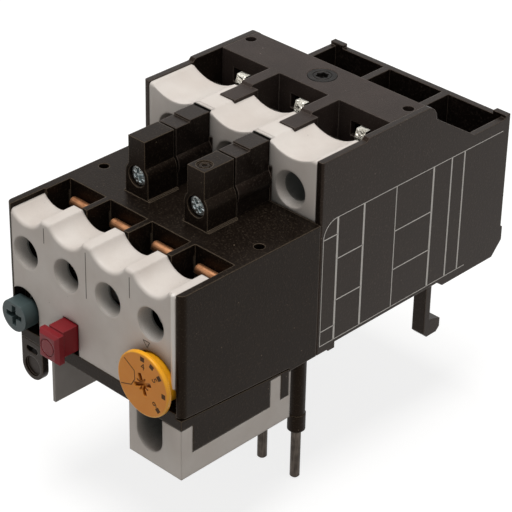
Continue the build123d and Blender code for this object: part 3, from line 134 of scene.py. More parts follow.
def empty_material(name):
    """A new material with nothing but its output node."""
    material = bpy.data.materials.new(name)
    material.use_nodes = True
    material.node_tree.nodes.clear()
    output = material.node_tree.nodes.new("ShaderNodeOutputMaterial")
    return material, material.node_tree, output


print("light grey:", [round(v, 3) for v in linear("#D2CDC9")])

# %% [markdown]
# Most of the protector is moulded polyamide filled with glass. Such a moulding has a spark-eroded skin: a
# grain of a few tenths of a millimetre that breaks up the gloss, cloudy patches where the melt flowed, and
# edges that the mould rounds by about a quarter of a millimetre. The rounding could be cut into each
# solid, but a bevel in the shading gives the same bright line and leaves the solids alone. The same bevel
# tells where an edge is, so that it can be a little paler there: a painted highlight along the edge,
# together with the abrasion of handled plastic. The grain also shows as pale flecks, where glass fibres
# lie at the skin. Dust specks are the centres of a cell pattern, kept only where a second noise is high. A
# rough skin reflects less than polished plastic, so the reflection is weaker than the usual one and takes
# the warm tone of the pigment. Where a surface is nearly closed in, as in the screw funnels, painted shade
# darkens it: the ambient occlusion node measures how closed in it is, and only its low values darken it.


# %% Moulded plastic
def moulded_plastic(name, base, pale, dust, gloss, grain=0.3, grain_height=0.02, cloud=7.0, edge=0.25,
                    edge_highlight_and_wear=0.5, speck_share=0.5, fleck=0.0, mirror=0.5, mirror_tint="#FFFFFF", painted_shade=None):
    """Two colours mixed in clouds, flecks, dust specks, grain as a bump and rounded edges; sizes in mm."""
    material, tree, output = empty_material(name)
    place = add(tree, "ShaderNodeTexCoord").outputs["Object"]
    in_mm = add(tree, "ShaderNodeMapping", links={"Vector": place, "Scale": (1000, 1000, 1000)}).outputs[0]
    clouds = add(tree, "ShaderNodeTexNoise", links={"Vector": in_mm, "Scale": 1 / cloud, "Detail": 4.0})
    share = add(tree, "ShaderNodeMapRange", links={
        "Value": clouds.outputs[0], "From Min": 0.35, "From Max": 0.7, "To Min": 0.0, "To Max": 1.0})
    tint = add(tree, "ShaderNodeMix", {"data_type": "RGBA"}, {
        0: share.outputs[0], 6: linear(base), 7: linear(pale)})
    rounded = add(tree, "ShaderNodeBevel", {"samples": 6}, {"Radius": edge / 1000})
    flat = add(tree, "ShaderNodeNewGeometry").outputs["True Normal"]
    turn = add(tree, "ShaderNodeVectorMath", {"operation": "DOT_PRODUCT"}, {0: rounded.outputs[0], 1: flat})
    # painted highlight and abrasion: at rounded edges, where the bevel turns the normal, the colour moves
    # towards the dust colour
    edge_highlight_and_rub = add(tree, "ShaderNodeMapRange", links={
        "Value": turn.outputs["Value"], "From Min": 0.98, "From Max": 0.75, "To Min": 0.0, "To Max": edge_highlight_and_wear})
    highlit_and_worn = add(tree, "ShaderNodeMix", {"data_type": "RGBA"}, {
        0: edge_highlight_and_rub.outputs[0], 6: tint.outputs[2], 7: linear(dust)})
    cells = add(tree, "ShaderNodeTexVoronoi", links={"Vector": in_mm, "Scale": 0.55})
    dots = add(tree, "ShaderNodeMapRange", links={
        "Value": cells.outputs["Distance"], "From Min": 0.085, "From Max": 0.05,
        "To Min": 0.0, "To Max": 1.0})
    where = add(tree, "ShaderNodeTexNoise", links={"Vector": in_mm, "Scale": 0.35})
    kept = add(tree, "ShaderNodeMapRange", links={
        "Value": where.outputs[0], "From Min": 0.52, "From Max": 0.6, "To Min": 0.0, "To Max": speck_share})
    dust_share = add(tree, "ShaderNodeMath", {"operation": "MULTIPLY"}, {
        0: dots.outputs[0], 1: kept.outputs[0]})
    colour = add(tree, "ShaderNodeMix", {"data_type": "RGBA"}, {
        0: dust_share.outputs[0], 6: highlit_and_worn.outputs[2], 7: linear(dust)})
    grains = add(tree, "ShaderNodeTexNoise", links={"Vector": in_mm, "Scale": 1 / grain, "Detail": 2.0})
    fleck_share = add(tree, "ShaderNodeMapRange", links={
        "Value": grains.outputs[0], "From Min": 0.55, "From Max": 0.72, "To Min": 0.0, "To Max": fleck})
    skin_colour = add(tree, "ShaderNodeMix", {"data_type": "RGBA"}, {
        0: fleck_share.outputs[0], 6: colour.outputs[2], 7: linear(dust)})
    skin = add(tree, "ShaderNodeBump", links={
        "Strength": 1.0, "Distance": grain_height / 1000, "Height": grains.outputs[0],
        "Normal": rounded.outputs[0]})
    sheen = add(tree, "ShaderNodeMapRange", links={
        "Value": grains.outputs[0], "From Min": 0.3, "From Max": 0.7,
        "To Min": gloss - 0.06, "To Max": gloss + 0.06})
    # painted shade: the skin darkens where the ambient occlusion node finds it closed in
    if painted_shade is not None:
        shade_colour, reach, low, high = painted_shade
        open_share = add(tree, "ShaderNodeAmbientOcclusion", {"samples": 8}, {"Distance": reach / 1000})
        closed = add(tree, "ShaderNodeMapRange", links={
            "Value": open_share.outputs["AO"], "From Min": high, "From Max": low,
            "To Min": 0.0, "To Max": 1.0})
        skin_colour = add(tree, "ShaderNodeMix", {"data_type": "RGBA"}, {
            0: closed.outputs[0], 6: skin_colour.outputs[2], 7: linear(shade_colour)})
    shader = add(tree, "ShaderNodeBsdfPrincipled", links={
        "Base Color": skin_colour.outputs[2], "Roughness": sheen.outputs[0], "Normal": skin.outputs[0],
        "IOR": 1.5, "Specular IOR Level": mirror, "Specular Tint": linear(mirror_tint)})
    tree.links.new(shader.outputs[0], output.inputs[0])
    return material


# black polyamide of the rear housing: deep brown-black with a satin skin and grey flecks of fibre and dust
black_polyamide = moulded_plastic(
    "moulded_black_polyamide", "#0E0A08", "#16100D", "#8A7C70", 0.36, grain=0.34,
    grain_height=0.03, edge=0.3, fleck=0.12, mirror=0.22, mirror_tint="#F4D2B8")
# the front housing comes from another mould with a duller skin, so its walls look darker and browner
deep_polyamide = moulded_plastic(
    "moulded_deep_black_polyamide", "#0B0705", "#120D0A", "#94836F", 0.42, grain=0.34,
    grain_height=0.035, edge=0.35, fleck=0.09, mirror=0.13, mirror_tint="#F4CCA8")
# the bridge piece is given a paler brown and a rougher skin, so its roof is lighter than the other black
# parts
pale_brown_polyamide = moulded_plastic(
    "moulded_pale_brown_polyamide", "#241D1B", "#2E2623", "#8A7F76", 0.5, grain=0.22,
    grain_height=0.04, edge=0.35, fleck=0.16, mirror=0.22, mirror_tint="#F2DCC8")
# the light covers are unfilled, so they are smoother, with softly rounded edges and painted shade in the
# funnels
light_polyamide = moulded_plastic(
    "moulded_light_grey_polyamide", "#D0C6BD", "#DAD2CA", "#7C736B", 0.5, grain=0.5,
    grain_height=0.012, edge=0.6, edge_highlight_and_wear=0.06, speck_share=0.35, mirror=0.35,
    painted_shade=("#5A5A56", 8.0, 0.25, 0.8))
# the cover's raised bead gets a paler copy of the light polyamide: a painted highlight along the bead
highlit_polyamide = moulded_plastic(
    "moulded_highlit_grey_polyamide", "#E9E2DA", "#F2ECE5", "#FFFFFF", 0.4, grain=0.5,
    grain_height=0.008, edge_highlight_and_wear=0.0, speck_share=0.0, mirror=0.4)
# the test button: a dark wine red with paler edges, a painted highlight and the marks where fingers have
# rubbed it
red_polyamide = moulded_plastic(
    "moulded_red_polyamide", "#75141B", "#821A22", "#B05A5E", 0.42,
    grain_height=0.01, edge_highlight_and_wear=0.3, speck_share=0.2, mirror=0.3)
# the reset knob: a muted blue-grey
teal_polyamide = moulded_plastic(
    "moulded_blue_grey_polyamide", "#3E4A4A", "#485656", "#889898", 0.42,
    grain_height=0.01, edge_highlight_and_wear=0.3, speck_share=0.2, mirror=0.3)
# dial: a dull orange face with painted shade where closed in; rim and drum take a yellower copy, painting the
# rim's highlight
orange_acetal = moulded_plastic(
    "moulded_orange_acetal", "#E8923A", "#EE9C44", "#A8641C", 0.42, grain=0.6,
    grain_height=0.006, edge_highlight_and_wear=0.0, speck_share=0.0, mirror=0.3, mirror_tint="#FFD9A0",
    painted_shade=("#7A3A08", 2.0, 0.45, 0.85))
highlight_yellow_acetal = moulded_plastic(
    "moulded_yellow_acetal_rim_highlight", "#F3A516", "#F8B01E", "#FFC83A", 0.32, grain=0.6,
    grain_height=0.004, edge_highlight_and_wear=0.2, speck_share=0.0, mirror=0.4)
# the guard plate below the cover: a mid grey polyamide
guard_polyamide = moulded_plastic(
    "moulded_mid_grey_polyamide", "#8B847E", "#958E88", "#B4ADA6", 0.5,
    grain_height=0.012, edge_highlight_and_wear=0.2, speck_share=0.2, mirror=0.3)
# the slide, the lever and the carrier inside: natural acetal, off-white and waxy
white_acetal = moulded_plastic(
    "moulded_white_acetal", "#D8D5CC", "#E2DFD6", "#EDEAE2", 0.4,
    grain_height=0.006, edge_highlight_and_wear=0.2, speck_share=0.0)
print("mouldings:", sum("moulded" in m.name for m in bpy.data.materials))

# %% [markdown]
# The metals differ in how they were made. Zinc plate is bright with a faint bluish cloud, drawn copper has
# fine lines along its length, the power pins are dull tin over copper, bimetal is rolled. Lines are a noise
# that is stretched along one direction: the pattern's scale is small along the lines and large across.


# %% Metals
def drawn_metal(name, dark, bright, rough, lines=(1.0, 1.0, 1.0), line_mm=0.25, height=0.01, spread=0.12,
                metallic=1.0):
    """Metal with streaks: noise with one cell per line_mm, stretched by lines along each direction."""
    material, tree, output = empty_material(name)
    place = add(tree, "ShaderNodeTexCoord").outputs["Object"]
    stretch = tuple(1000 / (line_mm * v) for v in lines)
    streak_place = add(tree, "ShaderNodeMapping", links={"Vector": place, "Scale": stretch}).outputs[0]
    streaks = add(tree, "ShaderNodeTexNoise", links={"Vector": streak_place, "Scale": 1.0, "Detail": 3.0})
    in_mm = add(tree, "ShaderNodeMapping", links={"Vector": place, "Scale": (1000, 1000, 1000)}).outputs[0]
    clouds = add(tree, "ShaderNodeTexNoise", links={"Vector": in_mm, "Scale": 0.6, "Detail": 3.0})
    both = add(tree, "ShaderNodeMath", {"operation": "ADD"}, {0: streaks.outputs[0], 1: clouds.outputs[0]})
    share = add(tree, "ShaderNodeMapRange", links={
        "Value": both.outputs[0], "From Min": 0.75, "From Max": 1.25, "To Min": 0.0, "To Max": 1.0})
    tint = add(tree, "ShaderNodeMix", {"data_type": "RGBA"}, {
        0: share.outputs[0], 6: linear(dark), 7: linear(bright)})
    sheen = add(tree, "ShaderNodeMapRange", links={
        "Value": both.outputs[0], "From Min": 0.75, "From Max": 1.25,
        "To Min": rough + spread, "To Max": rough})
    rounded = add(tree, "ShaderNodeBevel", {"samples": 4}, {"Radius": 0.0001})
    skin = add(tree, "ShaderNodeBump", links={
        "Strength": 1.0, "Distance": height / 1000, "Height": streaks.outputs[0],
        "Normal": rounded.outputs[0]})
    shader = add(tree, "ShaderNodeBsdfPrincipled", links={
        "Base Color": tint.outputs[2], "Metallic": metallic, "Roughness": sheen.outputs[0],
        "Normal": skin.outputs[0]})
    tree.links.new(shader.outputs[0], output.inputs[0])
    return material


# bright zinc with a bluish cloud, as on new screws
zinc_plate = drawn_metal("zinc_plated_steel", "#8E9798", "#C2C9CA", 0.26)
# the screws deep in the funnels get a paler, half-metallic copy of the zinc that scatters the little light it
# gets: painted light, so the heads show in the funnels' shade
lightened_zinc = drawn_metal("zinc_plate_painted_lighter", "#A7B0B1", "#D2D8D9", 0.36, metallic=0.4)
# the crumpled ears glint white against grey folds
tin_plate = drawn_metal("crumpled_tin_plate", "#8F8B80", "#F6F2E6", 0.2, height=0.02)
# copper strips, drawn along x: a warm brown with fine lines
bare_copper = drawn_metal("drawn_copper", "#8A5C3E", "#C79068", 0.4, lines=(14, 1, 1))
# the power pins: tin gone dark over copper, with lines along the pin
dull_tin = drawn_metal("dull_tinned_copper", "#403A35", "#5C544D", 0.42, lines=(1, 1, 14))
# the parts inside: rolled strip, grey resistance alloy, bright wire, yellow brass
rolled_bimetal = drawn_metal("rolled_bimetal", "#A39C92", "#C4BEB4", 0.32, lines=(1, 1, 14))
heating_alloy = drawn_metal("oxidised_heating_alloy", "#6B6661", "#8C8782", 0.45)
spring_wire = drawn_metal("bright_spring_wire", "#A9AAAD", "#D4D5D8", 0.22)
contact_brass = drawn_metal("stamped_brass", "#A98D4F", "#CBAF70", 0.3, lines=(1, 14, 1))
# the roof screw: blackened steel with a satin sheen
black_oxide = drawn_metal("black_oxide_steel", "#1B1917", "#2B2826", 0.4)
# mica is no metal, but its pressed flakes show the same clouds
mica_sheet = drawn_metal("pressed_mica", "#A89C80", "#C3B89C", 0.35, metallic=0.0, line_mm=0.6)
print("metals and mica:", sum("moulded" not in m.name for m in bpy.data.materials))

# %% [markdown]
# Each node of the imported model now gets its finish. The solids carry one slot each, so the finish simply
# takes that slot.

# %% Finishes on the CAD nodes
finish_of = {
    black_polyamide: ("main_housing", "latch_hooks", "screwdriver_guide"),
    deep_polyamide: ("front_housing", "base_plate", "pin_sleeves"),
    pale_brown_polyamide: ("heater_bridge",),
    light_polyamide: ("front_cover", "terminal_cover", "lower_terminal_block"),
    guard_polyamide: ("side_guard",),
    red_polyamide: ("test_button",),
    teal_polyamide: ("reset_knob",),
    orange_acetal: ("current_dial", "dial_cam"),
    white_acetal: ("contact_carrier", "trip_slide", "trip_lever", "cam_follower", "selector_sleeve"),
    zinc_plate: ("tower_screws", "aux_clamp_plates", "bimetal_brackets", "pivot_pins"),
    lightened_zinc: ("aux_terminal_screws", "main_terminal_screws", "lower_terminal_screw",
                  "lower_terminal_clamp"),
    tin_plate: ("main_terminal_yokes",),
    black_oxide: ("roof_screw",),
    bare_copper: ("terminal_leads", "open_contact_strips", "closed_contact_strips", "heater_links"),
    contact_brass: ("open_bridge", "closed_bridge"),
    dull_tin: ("power_pins",),
    rolled_bimetal: ("bimetal_strips", "compensating_strip"),
    heating_alloy: ("heater_ribbons",),
    mica_sheet: ("mica_sleeves",),
    spring_wire: ("knob_spring", "test_spring"),
}


def dress(thing, material):
    """Put one material on all slots of an object."""
    if not thing.data.materials:
        thing.data.materials.append(material)
    for slot in thing.material_slots:
        slot.material = material


for material, names in finish_of.items():
    for name in names:
        dress(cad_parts[name], material)
dressed = {name for names in finish_of.values() for name in names}
print("nodes without a finish:", sorted(set(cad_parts) - dressed))

# %% [markdown]
# New pieces are grids of points. A grid has rows and columns, and four neighbours make a face. A ring-shaped
# piece joins its last column to its first. Where a whole row falls on one point, as at the middle of a
# screw head, the doubles are merged, and the normals are then turned outwards.


# %% Helper for surfaces
def grid_faces(rows, columns, ring=True):
    """Four corners of each cell: (i, j), (i, j + 1), (i + 1, j + 1), (i + 1, j); a ring wraps j."""
    i = np.arange(rows - 1)[:, None]
    j = np.arange(columns if ring else columns - 1)[None, :]
    n = (j + 1) % columns
    cells = np.broadcast_arrays(i * columns + j, i * columns + n, (i + 1) * columns + n,
                                (i + 1) * columns + j)
    return np.stack(cells, axis=-1).reshape(-1, 4)


merge_distance = 2e-6


def piece(name, parts, material, body, sharp=35):
    """One object from a list of (points in millimetres, faces): joined, merged, normals outwards."""
    starts = np.cumsum([0] + [points.reshape(-1, 3).shape[0] for points, _ in parts])
    points = at(np.concatenate([points.reshape(-1, 3) for points, _ in parts]))
    faces = np.concatenate([faces + start for (_, faces), start in zip(parts, starts)])
    mesh = bpy.data.meshes.new(name)
    mesh.from_pydata(points.tolist(), [], faces.tolist())
    shell = bmesh.new()
    shell.from_mesh(mesh)
    bmesh.ops.remove_doubles(shell, verts=shell.verts, dist=merge_distance)
    bmesh.ops.recalc_face_normals(shell, faces=shell.faces)
    shell.to_mesh(mesh)
    shell.free()
    mesh.shade_smooth()
    mesh.set_sharp_from_angle(angle=np.radians(sharp))
    thing = bpy.data.objects.new(name, mesh)
    scene.collection.objects.link(thing)
    dress(thing, material)
    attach(thing, body)
    print(name, "has", len(mesh.polygons), "faces")
    return thing


# %% [markdown]
# A screw is a turned part, so its shape is a profile carried round an axis: radius and depth at each step.
# The driver's recess isn't turned, so it is pressed into the face afterwards: each point of the head goes
# down by the recess's depth at that place. A cross recess is deep where the point lies near one of two
# crossing bars, and it fades out with a smooth step at the bars' sides and ends.


# %% Turned pieces with a pressed recess
def smooth_step(value, low, high):
    """0 below low, 1 above high and 3 t^2 - 2 t^3 between."""
    t = np.clip((value - low) / (high - low), 0, 1)
    return t * t * (3 - 2 * t)


def cross_recess(a, b, reach, half_width, depth):
    """Depth of a cross: near to either bar and inside its reach, shallower towards the ends."""
    near, far = np.minimum(abs(a), abs(b)), np.maximum(abs(a), abs(b))
    bar = 1 - smooth_step(near, half_width, half_width + 0.12)
    end = 1 - smooth_step(far, reach - 0.3, reach)
    return depth * bar * end * (1 - 0.35 * far / reach)


def turned(centre, profile, recess=None, steps=96, phase=0.0, axis="front"):
    """Point at step i and angle t: centre + radius_i (cos t, sin t) across the axis, depth_i along it."""
    radius, depth = np.array(profile, float).T
    t = np.linspace(0, 2 * np.pi, steps, endpoint=False)
    a = radius[:, None] * np.cos(t + phase)
    b = radius[:, None] * np.sin(t + phase)
    d = depth[:, None] + np.zeros_like(a)
    if recess is not None:
        face = (depth < depth[0] + 0.6)[:, None] & (np.arange(len(radius)) <= np.argmax(radius))[:, None]
        turn = a * np.cos(phase) + b * np.sin(phase), b * np.cos(phase) - a * np.sin(phase)
        d = d + np.where(face, recess(*turn), 0)
    if axis == "front":
        points = np.stack((centre[0] + a, centre[1] + d, centre[2] + b), axis=-1)
    else:
        points = np.stack((centre[0] + a, centre[1] + b, centre[2] - d), axis=-1)
    return points, grid_faces(len(radius), steps)


def screw_profile(head, height, shank, length, dome=0.12, bevel=0.15):
    """Radius and depth of a domed head with a bevelled rim, its side, its underside and the shank."""
    r = np.linspace(0, head - bevel, 44)
    face = np.stack((r, dome * (r / head) ** 2), axis=-1)
    rest = ((head, dome + bevel), (head, height), (shank, height), (shank, length - 0.3),
            (shank - 0.3, length), (0, length))
    return np.concatenate((face, rest))


print("cross depth in the middle:", float(cross_recess(np.zeros(1), np.zeros(1), 1.4, 0.3, 0.9)[0]))

# %% [markdown]
# The two tower screws show best. Their zinc heads carry a cross and, between its arms, four short cuts that
# mark the recess as the kind that a flat blade fits too. The heads of the terminal screws deep in the
# funnels are the same kind, only larger, so one function makes the recess for all of them.


# %% Screw heads
def combined_recess(reach, half_width, depth):
    """Cross recess plus four short radial cuts halfway between the arms."""
    def recess(a, b):
        p, q = (a + b) / np.sqrt(2), (b - a) / np.sqrt(2)
        near, far = np.minimum(abs(p), abs(q)), np.maximum(abs(p), abs(q))
        cut = (1 - smooth_step(near, 0.05, 0.14)) * smooth_step(far, reach * 0.62, reach * 0.7)
        cut = cut * (1 - smooth_step(far, reach * 1.05, reach * 1.15))
        return np.maximum(cross_recess(a, b, reach, half_width, depth), 0.12 * cut)
    return recess


tower_screw_parts = [
    turned((x, 18.5, tower_screw_z), screw_profile(2.0, 1.6, 1.2, 20.4), combined_recess(1.35, 0.24, 0.9),
           phase=p)
    for x, p in zip(tower_x, (0.35, 0.6))
]
tower_screw_piece = piece("tower_screw_heads", tower_screw_parts, zinc_plate, "housing")
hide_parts("tower_screws")

# the terminal screws take the paler zinc, painted light for the shade in the funnels
aux_screw_parts = [
    turned((x, 3.5, 16.1), screw_profile(2.3, 1.6, 1.3, 9.2), combined_recess(1.55, 0.28, 1.0), phase=p)
    for x, p in zip(5.1 + aux_steps, (0.2, 0.9, 0.5, 1.2))
]
aux_screw_piece = piece("auxiliary_screws", aux_screw_parts, lightened_zinc, "housing")
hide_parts("aux_terminal_screws")

main_screw_parts = [
    turned((x, 39.4, 29.0), screw_profile(2.6, 2.0, 1.6, 9.8), combined_recess(1.8, 0.32, 1.2), phase=p)
    for x, p in zip(main_x, (0.4, 1.0, 0.7))
]
main_screw_piece = piece("main_screws", main_screw_parts, lightened_zinc, "housing")
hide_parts("main_terminal_screws")

# %% [markdown]
# The screw in the roof is blackened and sunk. It shows as two fine rings and a dark socket with six lobes,
# so its face is a turned profile with two grooves, and the socket's edge swings in and out six times.


# %% Roof screw
def six_lobes(a, b):
    """Depth of a socket whose edge is at 1.15 + 0.14 cos 6t from the middle."""
    edge = 1.15 + 0.14 * np.cos(6 * np.arctan2(b, a))
    return 0.85 * (1 - smooth_step(np.hypot(a, b), edge - 0.12, edge))


face_r = np.linspace(0, 2.7, 60)
rings = 0.12 * np.exp(-((face_r - 1.75) / 0.09) ** 2)
roof_profile = np.concatenate((np.stack((face_r, 0.02 + rings), axis=-1),
                               ((2.8, 0.1), (1.4, 1.2), (1.4, 3.9), (0, 3.9))))
roof_screw = turned((width_mm / 2, 58.1, roof_z), roof_profile, six_lobes, axis="down")
roof_screw_piece = piece("roof_screw_head", [roof_screw], black_oxide, "housing")
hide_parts("roof_screw")

# %% [markdown]
# The copper strips of the four small terminals end in a lip that is rolled over, so a wire can't cut
# itself. What shows from above is a bright half-round bar. Its section is a circle, a little flattened, and
# its ends are closed by rows that shrink to a point over a quarter circle.


# %% Rolled copper lips
def rolled_bar(x_range, y, z, radius, end=0.35, steps=40):
    """Along x the section is a circle; at both ends the radius falls as a quarter circle of length end."""
    s = np.sin(np.linspace(0, np.pi / 2, 8))
    step_in = end * (1 - np.sqrt(1 - s ** 2))
    straight = np.linspace(x_range[0] + end * 1.05, x_range[1] - end * 1.05, 12)
    along = np.concatenate((x_range[0] + step_in, straight, x_range[1] - step_in[::-1]))
    size = np.concatenate((s, np.ones(12), s[::-1])) * radius
    size[[0, -1]] = 0
    t = np.linspace(0, 2 * np.pi, steps, endpoint=False)
    points = np.stack((along[:, None] + 0 * t, y + size[:, None] * np.cos(t), z + size[:, None] * np.sin(t)),
                      axis=-1)
    return points, grid_faces(len(along), steps)


lip_parts = [rolled_bar((x - 3.0, x + 3.0), 12.8, 21.0, 1.03) for x in 6.5 + aux_steps]
piece("copper_lips", lip_parts, bare_copper, "housing")

# %% [markdown]
# In each wire opening of the main terminals a tinned ear stands up from the clamp and leans back a little.
# It is cut with teeth to hold the wire, and plating and use have left it crumpled, so it glints. A flat strip
# would look dead, so the ear is a slab whose section is a rounded box, carried upwards along the ear while
# its edges and its two faces swing with a few waves of under a millimetre.


# %% Tinned ears
def crumpled_ear(x, steps=56, rows=80):
    """Rounded-box section carried upwards; width, thickness and centre swing with sums of sine waves."""
    v = np.linspace(0, 1, rows)[:, None]
    t = np.linspace(0, 2 * np.pi, steps, endpoint=False)[None, :]
    z = 32.9 + 3.45 * v
    end = np.sqrt(np.clip(1 - np.abs(2 * v - 1) ** 14, 0, 1))
    teeth = 0.13 * np.sin(2 * np.pi * z / 0.8) + 0.06 * np.sin(2 * np.pi * z / 0.33 + 1)
    half_width = (1.12 - 0.1 * v + 0.8 * teeth) * end
    half_depth = (0.68 + 0.06 * np.sin(5 * z + x)) * end
    a = np.sign(np.cos(t)) * np.abs(np.cos(t)) ** 0.45
    b = np.sign(np.sin(t)) * np.abs(np.sin(t)) ** 0.45
    ripple = 0.13 * np.sin(8 * a + 4 * z + x) * np.cos(5.3 * z - 3 * a) + 0.06 * np.sin(13 * z + 7 * a)
    y = 49.3 + 0.7 * v ** 1.5 + half_depth * b + ripple * end
    points = np.stack((x + half_width * a, y, z + 0 * a), axis=-1)
    return points, grid_faces(rows, steps)


ear_parts = [crumpled_ear(x + 2.6) for x in main_x]
piece("tinned_ears", ear_parts, tin_plate, "housing", sharp=60)

# %% [markdown]
# The setting dial is one acetal moulding: a disc with a rounded rim, a drum behind it and a shaft. A star
# with uneven arms in its middle takes the screwdriver. The disc is turned, and the star is pressed in.


# %% Setting dial
def star_recess(a, b):
    """Four arms of uneven length along two crossing bars, and a small hub, all with soft sides."""
    p, q = a * np.cos(0.35) + b * np.sin(0.35), b * np.cos(0.35) - a * np.sin(0.35)
    depth = cross_recess(p, q, 2.25, 0.3, 0.8)
    m, n = p * np.cos(0.8) + q * np.sin(0.8), q * np.cos(0.8) - p * np.sin(0.8)
    short = cross_recess(m, n, 1.6, 0.12, 0.45)
    hub = 0.7 * (1 - smooth_step(np.hypot(a, b), 0.55, 0.95))
    return np.maximum(np.maximum(depth, short), hub)


dial_x, dial_z, dial_y = 38.2, 5.3, -2.7
face_r = np.concatenate((np.linspace(0, 2.7, 60), np.linspace(2.8, 5.95, 12)))
curve = np.linspace(0, np.pi / 2, 9)
rim = np.stack((6.0 + 0.3 * np.sin(curve), 0.3 - 0.3 * np.cos(curve)), axis=-1)
dial_profile = np.concatenate((np.stack((face_r, 0 * face_r), axis=-1), rim, (
    (6.3, 0.8), (6.15, 0.95), (4.9, 0.95), (4.9, 5.3), (2.0, 5.3), (2.0, 14.9), (0, 14.9))))
dial_piece = piece("setting_dial", [turned((dial_x, dial_y, dial_z), dial_profile, star_recess, steps=160)],
                   orange_acetal, "dial")
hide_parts("current_dial")
# the rim and the drum get the yellow copy, which paints the rim's highlight
dial_piece.data.materials.append(highlight_yellow_acetal)
middles = np.empty(len(dial_piece.data.polygons) * 3)
dial_piece.data.polygons.foreach_get("center", middles)
middles = (middles.reshape(-1, 3) - at((dial_x, dial_y, dial_z))) * 1000
on_rim = np.hypot(middles[:, 0], middles[:, 2]) > 6.0
dial_piece.data.polygons.foreach_set("material_index", (on_rim | (middles[:, 1] > 1.5)).astype(np.int32))
print("yellow faces of the dial:", int(on_rim.sum()))

# %% [markdown]
# Marks are printed ink, a few hundredths of a millimetre thick. Each mark is a flat bar between two points
# of a face, given by its ends and its width. The bars lie on the dial's face, on the cover's face or on the
# right side, so one function takes the face's two directions and its outward step.

# %% Printed ink
ink_thickness = 0.02


def printed_bars(bars, to_points):
    """Bars of (start, end, width) in a face's own directions, as thin closed boxes above that face."""
    ends = np.array([(start, end) for start, end, _ in bars], float)
    half = np.array([width / 2 for _, _, width in bars])[:, None]
    along = ends[:, 1] - ends[:, 0]
    along = along / np.linalg.norm(along, axis=1, keepdims=True)
    side = np.stack((-along[:, 1], along[:, 0]), axis=-1) * half
    corners = np.stack((ends[:, 0] - side, ends[:, 1] - side, ends[:, 1] + side, ends[:, 0] + side), axis=1)
    low, high = to_points(corners, 0.0), to_points(corners, ink_thickness)
    points = np.concatenate((low, high), axis=1)
    box = np.array(((0, 3, 2, 1), (4, 5, 6, 7), (0, 1, 5, 4), (1, 2, 6, 5), (2, 3, 7, 6), (3, 0, 4, 7)))
    faces = (box[None] + 8 * np.arange(len(bars))[:, None, None]).reshape(-1, 4)
    return points, faces


def on_dial(corners, height):
    """Dial face: first direction to the right, second up, height towards the viewer."""
    return np.stack((dial_x + corners[..., 0], dial_y - height + 0 * corners[..., 0],
                     dial_z + corners[..., 1]), axis=-1)


def on_cover(corners, height):
    """Cover face, at depth 0."""
    return np.stack((corners[..., 0], -height + 0 * corners[..., 0], corners[..., 1]), axis=-1)


def on_side(corners, height):
    """Right side of the main housing: first direction to the back, second up."""
    return np.stack((width_mm + height + 0 * corners[..., 0], corners[..., 0], corners[..., 1]), axis=-1)


def ink(name, colour, rough):
    """Printing ink: one colour, thinner in patches, over a smooth film."""
    material, tree, output = empty_material(name)
    place = add(tree, "ShaderNodeTexCoord").outputs["Object"]
    in_mm = add(tree, "ShaderNodeMapping", links={"Vector": place, "Scale": (1000, 1000, 1000)}).outputs[0]
    patches = add(tree, "ShaderNodeTexNoise", links={"Vector": in_mm, "Scale": 3.0, "Detail": 3.0})
    tint = add(tree, "ShaderNodeMix", {"data_type": "RGBA"}, {
        0: patches.outputs[0], 6: linear(colour[0]), 7: linear(colour[1])})
    shader = add(tree, "ShaderNodeBsdfPrincipled", links={
        "Base Color": tint.outputs[2], "Roughness": rough, "Specular IOR Level": 0.15})
    tree.links.new(shader.outputs[0], output.inputs[0])
    return material


dark_ink = ink("dark_printing_ink", ("#472C10", "#573818"), 0.6)
grey_ink = ink("grey_printing_ink", ("#5C554F", "#6B645D"), 0.6)
pale_ink = ink("pale_printing_ink", ("#E4DED6", "#F4F0EA"), 0.55)

# %% [markdown]
# The dial's marks: five blocks near the rim, a pair of thin lines that frame the hand's field, and plain
# numbers between them. The numbers are text that is made a mesh first and moved afterwards, so that the
# finished piece sits at the origin as every other piece does.

# %% Marks on the dial
angles = np.radians((90, 64, 38, 0, -43))
outward = np.stack((np.cos(angles), np.sin(angles)), axis=-1)
blocks = [(tuple(o * 4.75), tuple(o * 5.65), 0.95) for o in outward]
field = [((-4.49, 3.5), (-2.0, 1.95), 0.15), ((-2.0, 1.95), (-1.9, 0.2), 0.15),
         ((-1.9, 0.2), (-2.8, -1.3), 0.15), ((-2.8, -1.3), (-5.4, -2.2), 0.15)]
piece("dial_marks", [printed_bars(blocks + field, on_dial)], dark_ink, "dial")


def numeral(name, text, place, turn, size):
    """A plain number as a thin mesh: font outline with a little depth, turned and moved in the face."""
    curve = bpy.data.curves.new(name, "FONT")
    curve.body, curve.size, curve.extrude = text, 1.0, ink_thickness / 2
    curve.align_x, curve.align_y = "CENTER", "CENTER"
    curve.resolution_u = 3
    source = bpy.data.objects.new(name + "_font", curve)
    scene.collection.objects.link(source)
    mesh = bpy.data.meshes.new_from_object(source.evaluated_get(bpy.context.evaluated_depsgraph_get()))
    bpy.data.objects.remove(source)
    flat = np.empty(len(mesh.vertices) * 3)
    mesh.vertices.foreach_get("co", flat)
    flat = flat.reshape(-1, 3) * (size, size, 1)
    c, s = np.cos(turn), np.sin(turn)
    corners = np.stack((place[0] + c * flat[:, 0] - s * flat[:, 1],
                        place[1] + s * flat[:, 0] + c * flat[:, 1]), axis=-1)
    points = at(on_dial(corners, 0.0) - np.array((0, 1, 0)) * (flat[:, 2:] + ink_thickness / 2))
    mesh.vertices.foreach_set("co", points.ravel())
    mesh.update()
    thing = bpy.data.objects.new(name, mesh)
    scene.collection.objects.link(thing)
    dress(thing, dark_ink)
    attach(thing, "dial")
    return thing


